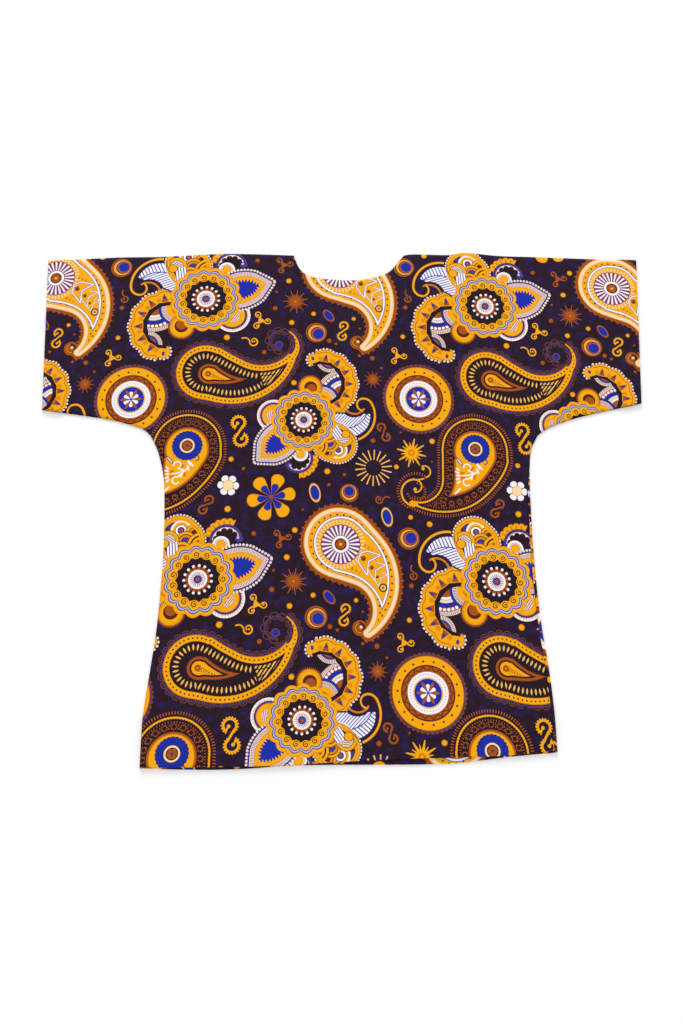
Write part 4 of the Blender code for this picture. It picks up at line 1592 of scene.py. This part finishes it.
# Where the lamp and the camera stand, in metres, how strong the lamp is and how the camera looks
LAMP_PLACE = (-1.0, 9.2, 3.9)
LAMP_SIZE = 3.8
LAMP_POWER = 525.0
CAMERA_PLACE = (-0.00128, -0.3588, 1.4136)
CAMERA_TILT = math.radians(13.2)
CAMERA_LENS = 32.66


class DASHIKI_OT_back(bpy.types.Operator):
    """Lay out the back panel, with its right edge rolled onto the front"""

    bl_idname = "dashiki.back"
    bl_label = "Back Panel"

    def execute(self, context):
        sizes = context.scene.dashiki_sizes
        layout = Layout(sizes, [(hem.across, hem.back) for hem in HEMS], front=False)
        panel = build_panel(context, "back_cloth", layout, 1, BACK_PRINT_SHIFT)
        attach(panel, "root")
        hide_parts("back_panel")
        return {"FINISHED"}


class DASHIKI_OT_front(bpy.types.Operator):
    """Lay the front panel on the back one"""

    bl_idname = "dashiki.front"
    bl_label = "Front Panel"

    def execute(self, context):
        sizes = context.scene.dashiki_sizes
        layout = Layout(sizes, [(hem.across, hem.front) for hem in HEMS], front=True)
        panel = build_panel(context, "front_cloth", layout, -1, (0.0, 0.0))
        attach(panel, "root")
        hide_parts("front_panel")
        return {"FINISHED"}


class DASHIKI_OT_stage(bpy.types.Operator):
    """Set up the pale floor, the soft light and the camera"""

    bl_idname = "dashiki.stage"
    bl_label = "Stage"

    def execute(self, context):
        bpy.ops.mesh.primitive_plane_add(size=8.0)
        floor = context.object
        floor.name = "floor"
        paper = bpy.data.materials.new("Pale floor")
        paper.use_nodes = True
        shader = paper.node_tree.nodes["Principled BSDF"]
        shader.inputs["Base Color"].default_value = (0.97, 0.97, 0.97, 1.0)
        shader.inputs["Roughness"].default_value = 0.9
        floor.data.materials.append(paper)
        world = bpy.data.worlds.new("Soft room")
        world.use_nodes = True
        background = world.node_tree.nodes["Background"]
        background.inputs["Color"].default_value = (1.0, 1.0, 1.0, 1.0)
        background.inputs["Strength"].default_value = 0.87
        context.scene.world = world
        lamp = bpy.data.lights.new("Softbox", "AREA")
        lamp.shape = "DISK"
        lamp.size = LAMP_SIZE
        lamp.energy = LAMP_POWER
        softbox = bpy.data.objects.new("Softbox", lamp)
        softbox.location = LAMP_PLACE
        softbox.rotation_euler = (-Vector(LAMP_PLACE)).to_track_quat("-Z", "Y").to_euler()
        context.scene.collection.objects.link(softbox)
        eye = bpy.data.cameras.new("Camera")
        eye.lens = CAMERA_LENS
        eye.sensor_width = 36.0
        camera = bpy.data.objects.new("Camera", eye)
        camera.location = CAMERA_PLACE
        camera.rotation_euler = (CAMERA_TILT, 0.0, 0.0)
        context.scene.collection.objects.link(camera)
        context.scene.camera = camera
        context.scene.view_settings.view_transform = "Standard"
        return {"FINISHED"}


class DASHIKI_PT_panel(bpy.types.Panel):
    """The dress's pieces, sizes and colours in the sidebar"""

    bl_label = "Dashiki Dress"
    bl_space_type = "VIEW_3D"
    bl_region_type = "UI"
    bl_category = "Dashiki"

    def draw(self, context):
        scene = context.scene
        for settings in (scene.dashiki_sizes, scene.dashiki_print, scene.dashiki_colours):
            box = self.layout.box()
            for name in settings.__annotations__:
                box.prop(settings, name)
        for operator in (DASHIKI_OT_back, DASHIKI_OT_front, DASHIKI_OT_stage):
            self.layout.operator(operator.bl_idname)


CLASSES = (
    DressSizes, PrintColours, PrintLayout,
    DASHIKI_OT_back, DASHIKI_OT_front, DASHIKI_OT_stage, DASHIKI_PT_panel,
)


def register():
    for kind in CLASSES:
        bpy.utils.register_class(kind)
    bpy.types.Scene.dashiki_sizes = PointerProperty(type=DressSizes)
    bpy.types.Scene.dashiki_colours = PointerProperty(type=PrintColours)
    bpy.types.Scene.dashiki_print = PointerProperty(type=PrintLayout)


def unregister():
    del bpy.types.Scene.dashiki_print
    del bpy.types.Scene.dashiki_colours
    del bpy.types.Scene.dashiki_sizes
    for kind in reversed(CLASSES):
        bpy.utils.unregister_class(kind)


def main():
    register()
    bpy.ops.dashiki.back()
    bpy.ops.dashiki.front()
    bpy.ops.dashiki.stage()


if __name__ == "__main__":
    main()
